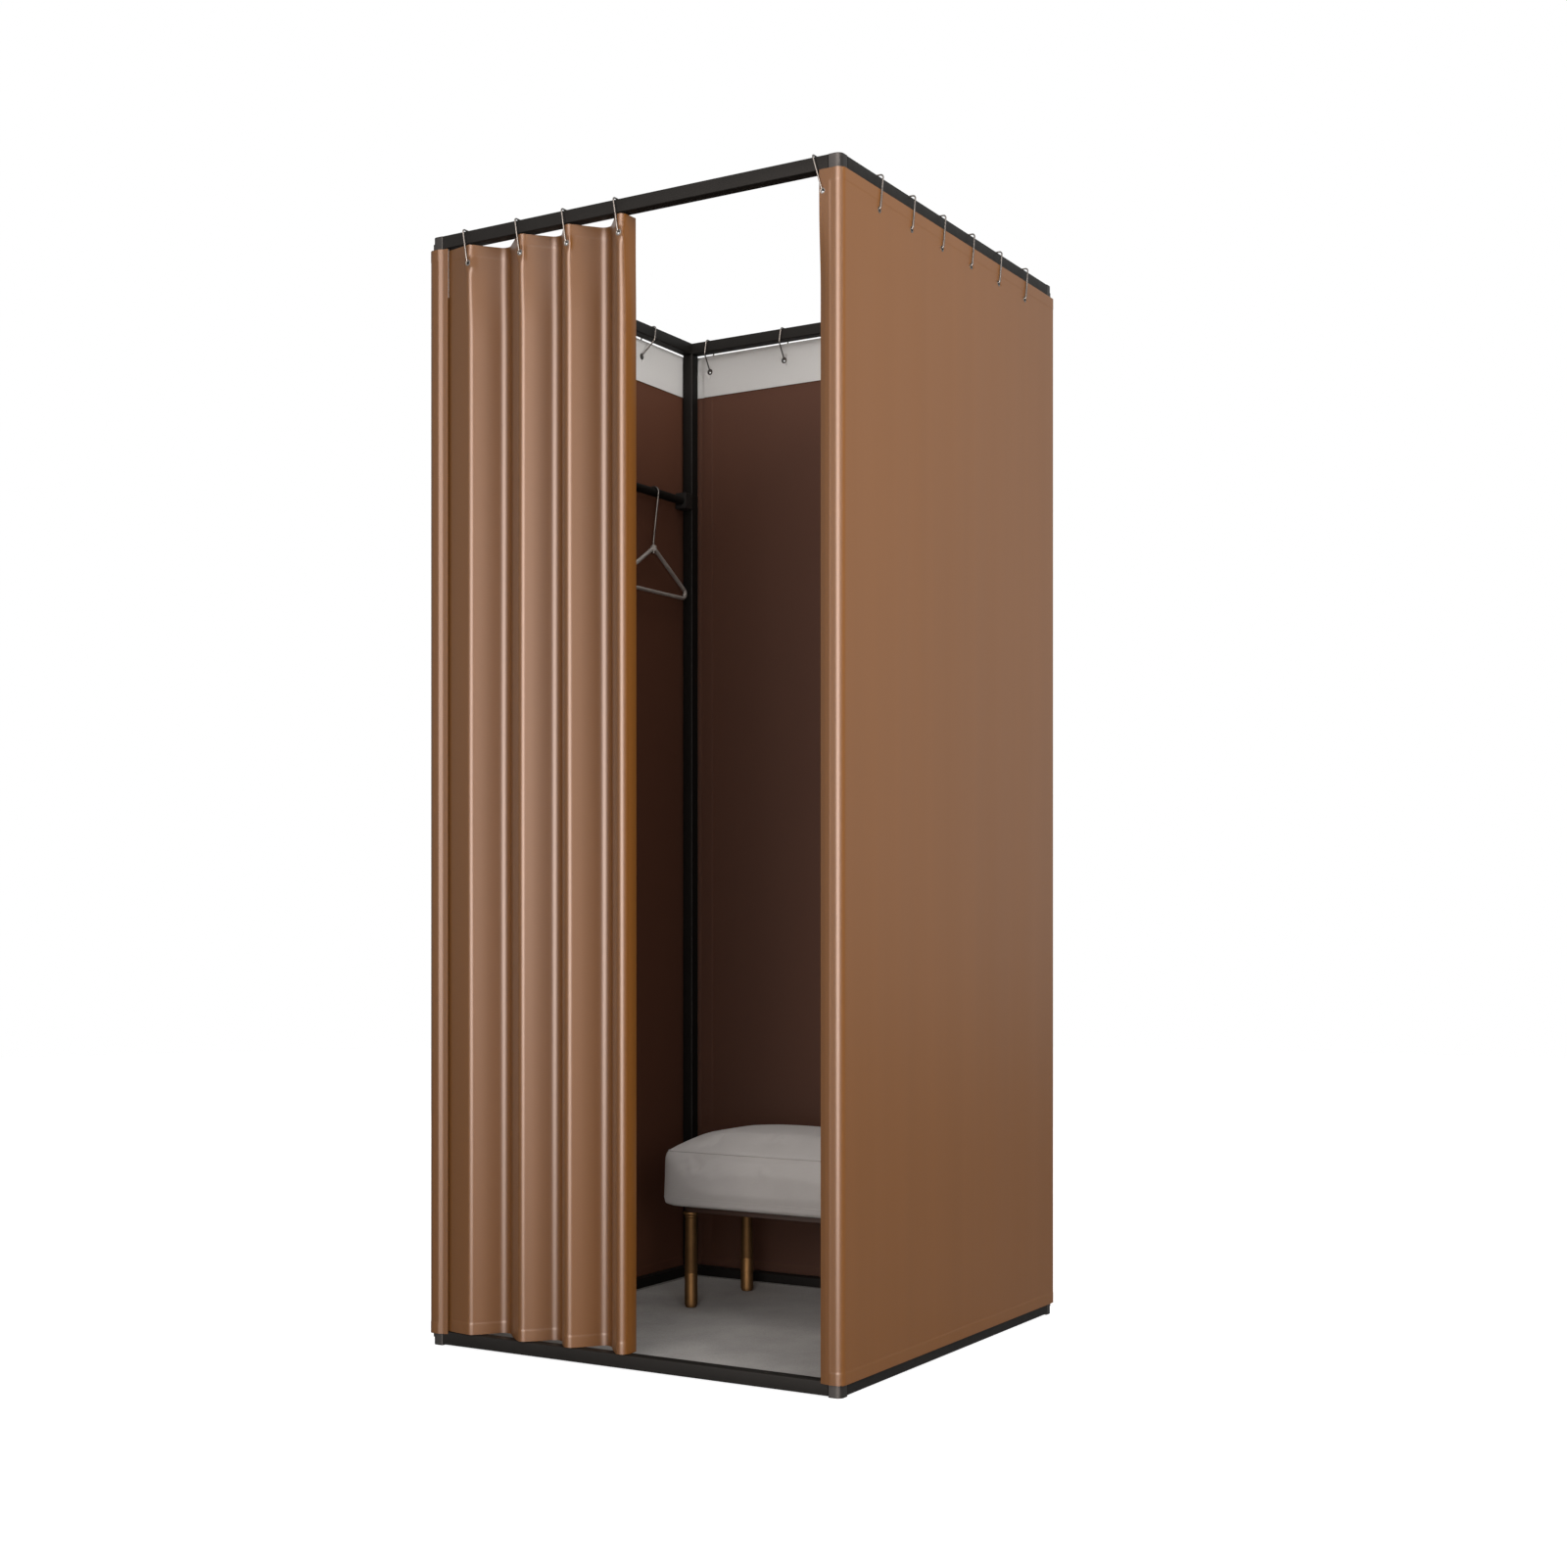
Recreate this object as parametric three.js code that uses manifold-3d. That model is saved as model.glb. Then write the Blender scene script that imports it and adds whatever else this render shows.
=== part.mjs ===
// Portable fitting room: a knock-down frame of square tube with a curtain round it.
// Millimetres. The origin is on the floor at the middle of the plan, +X to the right along the
// front, +Y from the front to the back, +Z up.
import * as THREE from "three";
import { mergeVertices } from "three/addons/utils/BufferGeometryUtils.js";
import Module from "manifold-3d";

const wasm = await Module();
wasm.setup();

// Driving dimensions of the frame
const planWidth = 900;
const planDepth = 900;
const frameHeight = 2130;
const tubeSide = 25;
const tubeWall = 1.5;
const tubeCornerRadius = 2;
const cornerRadius = 11;
const plugLength = 32;
const footHeight = 2;
const seatGap = 0.3;
const cutOverrun = 5;

// Cloth of the walls and of the door curtain
const clothThickness = 2;
const clothGap = 4;
const clothCornerRadius = 13;
const clothTopGap = 1;
const clothBottom = 26;
const wrapLength = 39;
const backSeamGap = 0.6;
const headingThickness = 1.2;
const headingHeight = 92;
const headingTopInset = 1.5;

// Rings, and where they hang
const ringWire = 3;
const ringLegGap = 0.5;
const ringInnerGap = 2.2;
const ringTopRadius = 6;
const ringBottomRadius = 4;
const ringDrop = 33;
const ringKneeDrop = 2;
const eyeletRadius = 5;
const rightRingCount = 6;
const rightRingFrontInset = 130;
const rightRingRearInset = 148;
const leftRingCount = 4;
const leftRingInset = 187;
const backRingCount = 5;
const backRingInset = 56;
const edgeRingInset = 49;

// Door curtain: its pleats, from the left post towards the right one
const doorRingShares = [0.102, 0.24, 0.36, 0.49];
const pleatDepth = 98;
const crestRadius = 7;
const shoulderRadius = 6;
const valleyRadius = 9;
const doorTopGap = 4;
const doorBottomGap = 1.5;
const doorStartInset = 45;
const doorStartDepth = 16;
const leadWidth = 24;
const leadDepth = 26;
const shoulderWidthShare = 0.33;
const shoulderDepthShare = 0.47;
const valleyWidthShare = 0.24;
const firstValleyWidthShare = 0.7;
const firstValleyDepthShare = 0.45;

// Garment rail with its sockets, and the hanger on it, on the left wall
const railBelowTop = 362;
const railDiameter = 19;
const railWall = 1.5;
const socketWidth = 28;
const socketHeight = 36;
const socketDepth = 28;
const socketBore = 16;
const hangerRearInset = 162;
const hangerHookWire = 5;
const hangerHookRadius = 13;
const hangerHookTip = THREE.MathUtils.degToRad(15);
const hangerHookDrop = 105;
const hangerNeckRadius = 10;
const hangerNeck = 30;
const hangerHeadDiameter = 9;
const hangerHeadHeight = 2.5;
const hangerTube = 9;
const hangerWidth = 262;
const hangerHeight = 104;
const hangerApexRadius = 12;
const hangerTipRadius = 11;
const hangerBossDiameter = 15;
const hangerBossHeight = 15;

// Floor mat and bench
const matThickness = 8;
const benchWidth = 490;
const benchDepth = 298;
const benchRearInset = 102;
const cushionHeight = 120;
const cushionCrown = 20;
const cushionRadius = 16;
const cushionPullIn = 4;
const benchBaseThickness = 12;
const benchBaseInset = 24;
const benchUnderside = 208;
const legDiameter = 27;
const legTopDiameter = 24;
const legCollarDiameter = 34;
const legCollarHeight = 6;
const legInset = 38;

// Counts of facets
const turnStep = THREE.MathUtils.degToRad(22.5);
const wireSides = 6;
const roundSides = 24;
const eyeletSides = 12;
const cushionCells = [14, 10, 8];

// Finishes
function finish(color, roughness, metalness) {
  return new THREE.MeshStandardMaterial({ color, roughness, metalness });
}
const blackPaint = finish(0x2f2c29, 0.5, 0.4);
const blackPlastic = finish(0x24221f, 0.55, 0);
const brownCloth = finish(0x8f6a4f, 0.7, 0);
const whiteTape = finish(0xc9c6c2, 0.85, 0);
const steel = finish(0xb9b7b4, 0.3, 1);
const greyCloth = finish(0x9b958f, 0.9, 0);
const greyPile = finish(0x8b8783, 0.95, 0);
const darkWood = finish(0x3b241a, 0.6, 0);
const brass = finish(0xa98849, 0.3, 1);
const palePlastic = finish(0xb7b2aa, 0.5, 0);

// Helpers for solids
function solidOf(geometry) {
  const bare = geometry.index ? geometry.toNonIndexed() : geometry.clone();
  bare.deleteAttribute("normal");
  bare.deleteAttribute("uv");
  const merged = mergeVertices(bare, 1e-4);
  return new wasm.Manifold(
    new wasm.Mesh({
      numProp: 3,
      vertProperties: merged.attributes.position.array,
      triVerts: new Uint32Array(merged.index.array),
    }),
  );
}

function geometryOf(solid) {
  const mesh = solid.getMesh();
  const geometry = new THREE.BufferGeometry();
  geometry.setAttribute("position", new THREE.BufferAttribute(mesh.vertProperties, 3));
  geometry.setIndex(new THREE.BufferAttribute(mesh.triVerts, 1));
  const flat = geometry.toNonIndexed();
  flat.computeVertexNormals();
  return flat;
}

function boxAt(sizeX, sizeY, sizeZ, x, y, z) {
  return new THREE.BoxGeometry(sizeX, sizeY, sizeZ).translate(x, y, z);
}

const booth = new THREE.Group();

function place(name, geometry, material, x = 0, y = 0, z = 0) {
  const mesh = new THREE.Mesh(geometry, material);
  mesh.name = name;
  mesh.position.set(x, y, z);
  booth.add(mesh);
  return mesh;
}

// A path of straight runs and arcs. Each stop is a centre with a signed radius: the path turns
// left round a positive one and right round a negative one, and a stop with no radius is a point.
function threadPath(stops, closed = false) {
  const centre = stops.map((stop) => new THREE.Vector2(stop.x, stop.y));
  const turn = stops.map((stop) => stop.r ?? 0);
  const last = stops.length - 1;
  const heading = (i, j) => {
    const apart = centre[j].clone().sub(centre[i]);
    return apart.angle() - Math.asin((turn[j] - turn[i]) / apart.length());
  };
  const points = [];
  for (let i = 0; i <= last; i++) {
    const before = closed || i > 0 ? heading((i + last) % (last + 1), i) : stops[i].from;
    const after = closed || i < last ? heading(i, (i + 1) % (last + 1)) : stops[i].to;
    const start = before ?? after;
    const end = after ?? before;
    let sweep = THREE.MathUtils.euclideanModulo(end - start, 2 * Math.PI);
    if (turn[i] < 0) sweep -= 2 * Math.PI;
    if (turn[i] === 0 || Math.abs(Math.abs(sweep) - 2 * Math.PI) < 1e-6) sweep = 0;
    const steps = sweep ? Math.max(2, Math.ceil(Math.abs(sweep) / turnStep)) : 0;
    for (let k = 0; k <= steps; k++) {
      const along = start + (steps ? (sweep * k) / steps : 0);
      const side = new THREE.Vector2(-Math.sin(along), Math.cos(along));
      points.push(centre[i].clone().addScaledVector(side, -turn[i]));
    }
  }
  return points;
}

function tangentAt(points, i, closed) {
  const n = points.length;
  const next = points[closed ? (i + 1) % n : Math.min(i + 1, n - 1)];
  const prior = points[closed ? (i + n - 1) % n : Math.max(i - 1, 0)];
  return next.clone().sub(prior).normalize();
}

// A round wire along a path in the XY plane
function wireAlong(points, diameter, closed = false) {
  const sides = wireSides;
  const position = [];
  const index = [];
  points.forEach((point, i) => {
    const tangent = tangentAt(points, i, closed);
    for (let s = 0; s < sides; s++) {
      const angle = ((s + 0.5) * 2 * Math.PI) / sides;
      const across = (Math.cos(angle) * diameter) / 2;
      position.push(
        point.x - tangent.y * across,
        point.y + tangent.x * across,
        (Math.sin(angle) * diameter) / 2,
      );
    }
  });
  const rings = points.length;
  const spans = closed ? rings : rings - 1;
  for (let i = 0; i < spans; i++) {
    const a = i * sides;
    const b = ((i + 1) % rings) * sides;
    for (let s = 0; s < sides; s++) {
      const t = (s + 1) % sides;
      index.push(a + s, b + t, b + s, a + s, a + t, b + t);
    }
  }
  if (!closed) {
    const end = (rings - 1) * sides;
    for (let s = 1; s < sides - 1; s++) {
      index.push(0, s + 1, s, end, end + s, end + s + 1);
    }
  }
  const geometry = new THREE.BufferGeometry();
  geometry.setAttribute("position", new THREE.Float32BufferAttribute(position, 3));
  geometry.setIndex(index);
  const flat = geometry.toNonIndexed();
  flat.computeVertexNormals();
  return flat;
}

// A band of cloth standing on a path in plan, from one height to another
function bandOnPath(points, inside, outside, bottom, top) {
  const left = [];
  const right = [];
  points.forEach((point, i) => {
    const tangent = tangentAt(points, i, false);
    const normal = new THREE.Vector2(-tangent.y, tangent.x);
    left.push(point.clone().addScaledVector(normal, inside));
    right.push(point.clone().addScaledVector(normal, -outside));
  });
  const outline = new THREE.Shape(right.concat(left.reverse()));
  return new THREE.ExtrudeGeometry(outline, { depth: top - bottom, bevelEnabled: false }).translate(
    0,
    0,
    bottom,
  );
}

function roundedRectangle(width, height, radius) {
  const x = width / 2 - radius;
  const y = height / 2 - radius;
  return threadPath(
    [
      { x, y: -y, r: radius },
      { x, y, r: radius },
      { x: -x, y, r: radius },
      { x: -x, y: -y, r: radius },
    ],
    true,
  );
}

// Places worked out from the driving dimensions
const railX = planWidth / 2 - tubeSide / 2;
const railY = planDepth / 2 - tubeSide / 2;
const topRailZ = frameHeight - tubeSide / 2;
const baseRailZ = footHeight + tubeSide / 2;
const topRailUnderside = frameHeight - tubeSide;
const baseRailTop = footHeight + tubeSide;
const railHeight = frameHeight - railBelowTop;
const hangerY = planDepth / 2 - hangerRearInset;
const clothX = planWidth / 2 + clothGap + clothThickness / 2;
const clothY = planDepth / 2 + clothGap + clothThickness / 2;
const clothTop = topRailUnderside - clothTopGap;

// The ring's outline, seen along its rail: x is outwards from the rail's middle and y is up
const ringTop = tubeSide / 2 + seatGap + ringWire / 2;
const ringOuter = tubeSide / 2 + clothGap + clothThickness + ringLegGap + ringWire / 2;
const ringInner = tubeSide / 2 + ringInnerGap + ringWire / 2;
const ringBottomX = ringOuter - ringBottomRadius;
const ringBottomY = -tubeSide / 2 - ringDrop;
const ringPath = threadPath(
  [
    { x: ringBottomX, y: ringBottomY, r: ringBottomRadius },
    { x: ringOuter - ringTopRadius, y: ringTop - ringTopRadius, r: ringTopRadius },
    { x: ringTopRadius - ringInner, y: ringTop - ringTopRadius, r: ringTopRadius },
    { x: ringTopRadius - ringInner, y: -tubeSide / 2 - ringKneeDrop, r: ringTopRadius },
  ],
  true,
);
// The eyelet's rim rests on the wire where the wire leaves the cloth.
const clothReach = Math.max(
  Math.abs(tubeSide / 2 + clothGap + clothThickness - ringBottomX),
  Math.abs(tubeSide / 2 + clothGap - headingThickness - seatGap - ringBottomX),
);
const ringBendInside = ringBottomRadius - ringWire / 2;
const eyeletRim =
  ringBottomY + seatGap - Math.sqrt(Math.max(ringBendInside ** 2 - clothReach ** 2, 0));
const eyeletZ = topRailZ + eyeletRim - eyeletRadius;

const up = new THREE.Vector3(0, 0, 1);
const walls = {
  front: new THREE.Vector3(0, -1, 0),
  right: new THREE.Vector3(1, 0, 0),
  back: new THREE.Vector3(0, 1, 0),
  left: new THREE.Vector3(-1, 0, 0),
};

// Turns a shape drawn with x outwards and y up so that it stands square to a wall's rail
function turnedTo(outward) {
  const basis = new THREE.Matrix4().makeBasis(outward, up, outward.clone().cross(up));
  return new THREE.Quaternion().setFromRotationMatrix(basis);
}

function onWall(outward, along, z) {
  return new THREE.Vector3(
    outward.x ? outward.x * railX : along,
    outward.y ? outward.y * railY : along,
    z,
  );
}

function addRing(name, outward, along) {
  const mesh = place(name, wireAlong(ringPath, ringWire, true), steel);
  mesh.quaternion.copy(turnedTo(outward));
  mesh.position.copy(onWall(outward, along, topRailZ));
}

// A round hole through the cloth below each ring
function cutEyelets(geometry, outward, places) {
  const reach = tubeSide + clothGap + clothThickness + cutOverrun;
  let solid = solidOf(geometry);
  for (const along of places) {
    const pin = new THREE.CylinderGeometry(eyeletRadius, eyeletRadius, reach, eyeletSides);
    pin.rotateX(Math.PI / 2);
    if (outward.x) pin.rotateZ(Math.PI / 2);
    const middle = onWall(outward, along, eyeletZ).addScaledVector(outward, reach / 2);
    pin.translate(middle.x, middle.y, middle.z);
    solid = solid.subtract(solidOf(pin));
  }
  return geometryOf(solid);
}

function row(count, length, firstInset, lastInset = firstInset) {
  const pitch = (length - firstInset - lastInset) / (count - 1);
  return Array.from({ length: count }, (_, i) => firstInset - length / 2 + i * pitch);
}
const rightRings = row(rightRingCount, planDepth, rightRingFrontInset, rightRingRearInset);
const leftRings = row(leftRingCount, planDepth, leftRingInset);
const backRings = row(backRingCount, planWidth, backRingInset);
const doorRings = doorRingShares.map((share) => (share - 1 / 2) * planWidth);
const edgeRing = planWidth / 2 - edgeRingInset;

// Frame tubes. The tube runs along Z in its own frame.
function tubeGeometry(length) {
  const shape = new THREE.Shape(roundedRectangle(tubeSide, tubeSide, tubeCornerRadius));
  const bore = tubeSide - 2 * tubeWall;
  shape.holes.push(new THREE.Path(roundedRectangle(bore, bore, tubeCornerRadius - tubeWall)));
  return new THREE.ExtrudeGeometry(shape, { depth: length, bevelEnabled: false, steps: 1 }).translate(
    0,
    0,
    -length / 2,
  );
}

function addTubes() {
  const spanX = planWidth - 2 * tubeSide - 2 * seatGap;
  const spanY = planDepth - 2 * tubeSide - 2 * seatGap;
  const spanZ = topRailUnderside - baseRailTop - 2 * seatGap;
  const levels = { top: topRailZ, base: baseRailZ };
  for (const [level, z] of Object.entries(levels)) {
    for (const [wall, outward] of Object.entries(walls)) {
      const sideways = outward.x !== 0;
      const tube = tubeGeometry(sideways ? spanY : spanX);
      if (sideways) tube.rotateX(Math.PI / 2);
      else tube.rotateY(Math.PI / 2);
      place(`${level}_rail_${wall}`, tube, blackPaint, outward.x * railX, outward.y * railY, z);
    }
  }
  const middle = (topRailUnderside + baseRailTop) / 2;
  for (const [corner, [sx, sy]] of Object.entries(corners)) {
    place(`post_${corner}`, tubeGeometry(spanZ), blackPaint, sx * railX, sy * railY, middle);
  }
}

const corners = {
  front_left: [-1, -1],
  front_right: [1, -1],
  rear_left: [-1, 1],
  rear_right: [1, 1],
};

// A three-way corner block: a body with a rounded outer edge, and a plug for each tube.
// `rise` is 1 where the post goes up from the block and -1 where it comes down.
function cornerBlock(sx, sy, rise) {
  const half = tubeSide / 2;
  const plug = tubeSide - 2 * tubeWall - 2 * seatGap;
  const reach = half + plugLength;
  const foot = rise > 0 ? footHeight : 0;
  const inner = half - tubeCornerRadius;
  const outer = half - cornerRadius;
  const outline = threadPath(
    [
      { x: outer, y: -outer, r: cornerRadius },
      { x: inner, y: inner, r: tubeCornerRadius },
      { x: -inner, y: inner, r: tubeCornerRadius },
      { x: -inner, y: -inner, r: tubeCornerRadius },
    ],
    true,
  );
  const turned = Math.atan2(sy, sx) + Math.PI / 4;
  const body = new THREE.ExtrudeGeometry(new THREE.Shape(outline), {
    depth: tubeSide + foot,
    bevelEnabled: false,
  }).translate(0, 0, -half - foot);
  body.rotateZ(turned);
  return [
    boxAt(reach, plug, plug, (-sx * reach) / 2, 0, 0),
    boxAt(plug, reach, plug, 0, (-sy * reach) / 2, 0),
    boxAt(plug, plug, reach, 0, 0, (rise * reach) / 2),
  ].reduce((solid, arm) => solid.add(solidOf(arm)), solidOf(body));
}

function addCorners() {
  for (const [corner, [sx, sy]] of Object.entries(corners)) {
    const top = geometryOf(cornerBlock(sx, sy, -1));
    const base = geometryOf(cornerBlock(sx, sy, 1));
    place(`top_corner_${corner}`, top, blackPlastic, sx * railX, sy * railY, topRailZ);
    place(`base_corner_${corner}`, base, blackPlastic, sx * railX, sy * railY, baseRailZ);
  }
}

// Walls of cloth
const seamX = planWidth / 2 - wrapLength;

// One side curtain in plan: round the front post, along the side and round the rear post
function sidePath(side, offset) {
  const x = side * (clothX - offset);
  const y = clothY - offset;
  const r = clothCornerRadius - offset;
  return threadPath([
    { x: side * seamX, y: -y },
    { x: x - side * r, y: r - y, r: side * r },
    { x: x - side * r, y: y - r, r: side * r },
    { x: side * seamX, y },
  ]);
}

function backPath(offset) {
  const y = clothY - offset;
  const x = seamX - backSeamGap;
  return [new THREE.Vector2(x, y), new THREE.Vector2(-x, y)];
}

function addWallCurtains() {
  const half = clothThickness / 2;
  const tapeOffset = half + seatGap + headingThickness / 2;
  const tapeHalf = headingThickness / 2;
  const tapeTop = clothTop - headingTopInset;
  const tapeBottom = tapeTop - headingHeight;
  const bands = {
    curtain: { offset: 0, half, bottom: clothBottom, top: clothTop, material: brownCloth },
    heading: {
      offset: tapeOffset,
      half: tapeHalf,
      bottom: tapeBottom,
      top: tapeTop,
      material: whiteTape,
    },
  };
  const sides = {
    left: { path: (o) => sidePath(-1, o), rings: leftRings },
    right: { path: (o) => sidePath(1, o), rings: rightRings },
    back: { path: backPath, rings: backRings },
  };
  for (const [kind, band] of Object.entries(bands)) {
    for (const [wall, side] of Object.entries(sides)) {
      const points = side.path(band.offset);
      const plain = bandOnPath(points, band.half, band.half, band.bottom, band.top);
      let cut = cutEyelets(plain, walls[wall], side.rings);
      if (wall === "right") cut = cutEyelets(cut, walls.front, [edgeRing]);
      place(`${wall}_${kind}`, cut, band.material);
    }
  }
}

// Door curtain, drawn half aside, with its heading tape sewn along the inside of its top
function doorPath() {
  const y = -clothY;
  const left = -planWidth / 2;
  const stops = [
    { x: left + doorStartInset, y: y + doorStartDepth },
    {
      x: left + firstValleyWidthShare * (doorRings[0] - left),
      y: y + firstValleyDepthShare * pleatDepth,
      r: -valleyRadius,
    },
  ];
  doorRings.forEach((x, i) => {
    stops.push({ x, y: y + crestRadius, r: crestRadius });
    if (i === doorRings.length - 1) return;
    const pitch = doorRings[i + 1] - x;
    stops.push({
      x: x + shoulderWidthShare * pitch - shoulderRadius,
      y: y + shoulderDepthShare * pleatDepth,
      r: shoulderRadius,
    });
    stops.push({
      x: x + valleyWidthShare * pitch + valleyRadius,
      y: y + pleatDepth - valleyRadius,
      r: -valleyRadius,
    });
  });
  stops.push({ x: doorRings.at(-1) + leadWidth, y: y + leadDepth });
  return threadPath(stops);
}

function addDoorCurtain() {
  const half = clothThickness / 2;
  const path = doorPath();
  const bottom = baseRailTop + doorBottomGap;
  const top = topRailUnderside - doorTopGap;
  const tapeTop = top - headingTopInset;
  const cloth = bandOnPath(path, half, half, bottom, top);
  const tape = bandOnPath(path, half + headingThickness, 0, tapeTop - headingHeight, tapeTop);
  const sewn = geometryOf(solidOf(cloth).add(solidOf(tape)));
  place("front_curtain", cutEyelets(sewn, walls.front, doorRings), brownCloth);
}

function addRings() {
  doorRings.forEach((x, i) => addRing(`door_ring_${i + 1}`, walls.front, x));
  addRing("front_edge_ring", walls.front, edgeRing);
  rightRings.forEach((y, i) => addRing(`right_ring_${i + 1}`, walls.right, y));
  leftRings.forEach((y, i) => addRing(`left_ring_${i + 1}`, walls.left, y));
  backRings.forEach((x, i) => addRing(`back_ring_${i + 1}`, walls.back, x));
}

// Garment rail, a round tube held in a socket on each of the two left posts
function railGeometry(length) {
  const ringOf = (radius) => {
    const path = new THREE.Path();
    path.absarc(0, 0, radius, 0, 2 * Math.PI);
    return path.getPoints(roundSides / 2).slice(0, -1);
  };
  const section = new THREE.Shape(ringOf(railDiameter / 2));
  section.holes.push(new THREE.Path(ringOf(railDiameter / 2 - railWall)));
  const rail = new THREE.ExtrudeGeometry(section, { depth: length, bevelEnabled: false });
  return rail.translate(0, 0, -length / 2).rotateX(Math.PI / 2);
}

function socketGeometry(sy) {
  const outline = new THREE.Shape(roundedRectangle(socketWidth, socketHeight, tubeCornerRadius));
  const block = new THREE.ExtrudeGeometry(outline, { depth: socketDepth, bevelEnabled: false });
  block.translate(0, 0, -socketDepth / 2).rotateX(Math.PI / 2);
  const boreRadius = railDiameter / 2 + seatGap;
  const boreLength = socketBore + cutOverrun;
  const bore = new THREE.CylinderGeometry(boreRadius, boreRadius, boreLength, roundSides);
  bore.translate(0, -sy * ((socketDepth + cutOverrun - socketBore) / 2), 0);
  return geometryOf(solidOf(block).subtract(solidOf(bore)));
}

function addGarmentRail() {
  const postFace = railY - tubeSide / 2;
  const socketMiddle = postFace - seatGap - socketDepth / 2;
  const railEnd = postFace - 2 * seatGap - socketDepth + socketBore;
  place("garment_rail", railGeometry(2 * railEnd), blackPaint, -railX, 0, railHeight);
  for (const [end, sy] of Object.entries({ front: -1, rear: 1 })) {
    const name = `rail_socket_${end}`;
    place(name, socketGeometry(sy), blackPlastic, -railX, sy * socketMiddle, railHeight);
  }
}

// The hanger is drawn with y up from the top of its hook's wire.
const hookBendY = -hangerHookRadius - hangerHookDrop;
const hookEndY = hookBendY - hangerNeck;
const bossBottomY = hookEndY + hangerHeadHeight + seatGap;

// Its hook crosses the rail, with x towards the room, and ends in a head under the boss.
function hangerHook() {
  const path = threadPath([
    { x: 0, y: -hangerHookRadius, r: -hangerHookRadius, from: Math.PI / 2 - hangerHookTip },
    { x: hangerNeckRadius, y: hookBendY, r: hangerNeckRadius },
    { x: 0, y: hookEndY + hangerHeadHeight / 2 },
  ]);
  const radius = hangerHeadDiameter / 2;
  const head = new THREE.CylinderGeometry(radius, radius, hangerHeadHeight, roundSides / 2);
  head.translate(0, hookEndY + hangerHeadHeight / 2, 0);
  return geometryOf(solidOf(wireAlong(path, hangerHookWire)).add(solidOf(head)));
}

// Its shoulders and crossbar are one loop of round tube, with x along the rail.
function hangerBody() {
  const top = bossBottomY + hangerBossHeight / 2;
  const bottom = top - hangerHeight + hangerTube;
  const tipX = hangerWidth / 2 - hangerTube / 2 - hangerTipRadius;
  const loop = threadPath(
    [
      { x: -tipX, y: bottom + hangerTipRadius, r: hangerTipRadius },
      { x: tipX, y: bottom + hangerTipRadius, r: hangerTipRadius },
      { x: 0, y: top - hangerApexRadius, r: hangerApexRadius },
    ],
    true,
  );
  const bossRadius = hangerBossDiameter / 2;
  const boss = new THREE.CylinderGeometry(bossRadius, bossRadius, hangerBossHeight, roundSides / 2);
  const boreRadius = hangerHookWire / 2 + seatGap;
  const boreLength = hangerBossHeight + 2 * cutOverrun;
  const bore = new THREE.CylinderGeometry(boreRadius, boreRadius, boreLength, roundSides / 2);
  boss.translate(0, top, 0);
  bore.translate(0, top, 0);
  const solid = solidOf(wireAlong(loop, hangerTube, true)).add(solidOf(boss));
  return geometryOf(solid.subtract(solidOf(bore)));
}

function addHanger() {
  const wireTop = railHeight + railDiameter / 2 + seatGap + hangerHookWire / 2;
  const pieces = {
    hanger_hook: { geometry: hangerHook(), material: steel, facing: walls.right },
    hanger_body: { geometry: hangerBody(), material: palePlastic, facing: walls.back },
  };
  for (const [name, piece] of Object.entries(pieces)) {
    const mesh = place(name, piece.geometry, piece.material);
    mesh.quaternion.copy(turnedTo(piece.facing));
    mesh.position.set(-railX, hangerY, wireTop);
  }
}

// Mat and bench
function addMat() {
  const width = planWidth - 2 * tubeSide - 2 * seatGap;
  const depth = planDepth - 2 * tubeSide - 2 * seatGap;
  const outline = roundedRectangle(width, depth, tubeCornerRadius);
  const mat = new THREE.ExtrudeGeometry(new THREE.Shape(outline), {
    depth: matThickness,
    bevelEnabled: false,
  });
  place("floor_mat", mat, greyPile);
}

// The cushion: a box with rounded edges, a crowned top and sides drawn in between its corners
function cushionGeometry() {
  const half = new THREE.Vector3(benchWidth / 2, benchDepth / 2, cushionHeight / 2);
  const box = new THREE.BoxGeometry(2, 2, 2, ...cushionCells);
  const position = box.attributes.position;
  const corner = new THREE.Vector3();
  const offset = new THREE.Vector3();
  for (let i = 0; i < position.count; i++) {
    const unit = new THREE.Vector3().fromBufferAttribute(position, i);
    const spread = ["x", "y", "z"].map((axis) => Math.sin((unit[axis] * Math.PI) / 2));
    const point = new THREE.Vector3(...spread).multiply(half);
    corner.copy(half).addScalar(-cushionRadius);
    const inner = point.clone().clamp(corner.clone().negate(), corner);
    offset.copy(point).sub(inner);
    if (offset.length() > 0) offset.setLength(cushionRadius);
    const [a, b, c] = spread;
    const pullX = cushionPullIn * a * (1 - b * b) * (1 - c * c);
    const pullY = cushionPullIn * b * (1 - a * a) * (1 - c * c);
    const crown = cushionCrown * (1 - a ** 4) * (1 - b ** 4) * Math.max(c, 0);
    point.copy(inner).add(offset);
    position.setXYZ(i, point.x - pullX, point.y - pullY, point.z + crown);
  }
  return geometryOf(solidOf(box));
}

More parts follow.
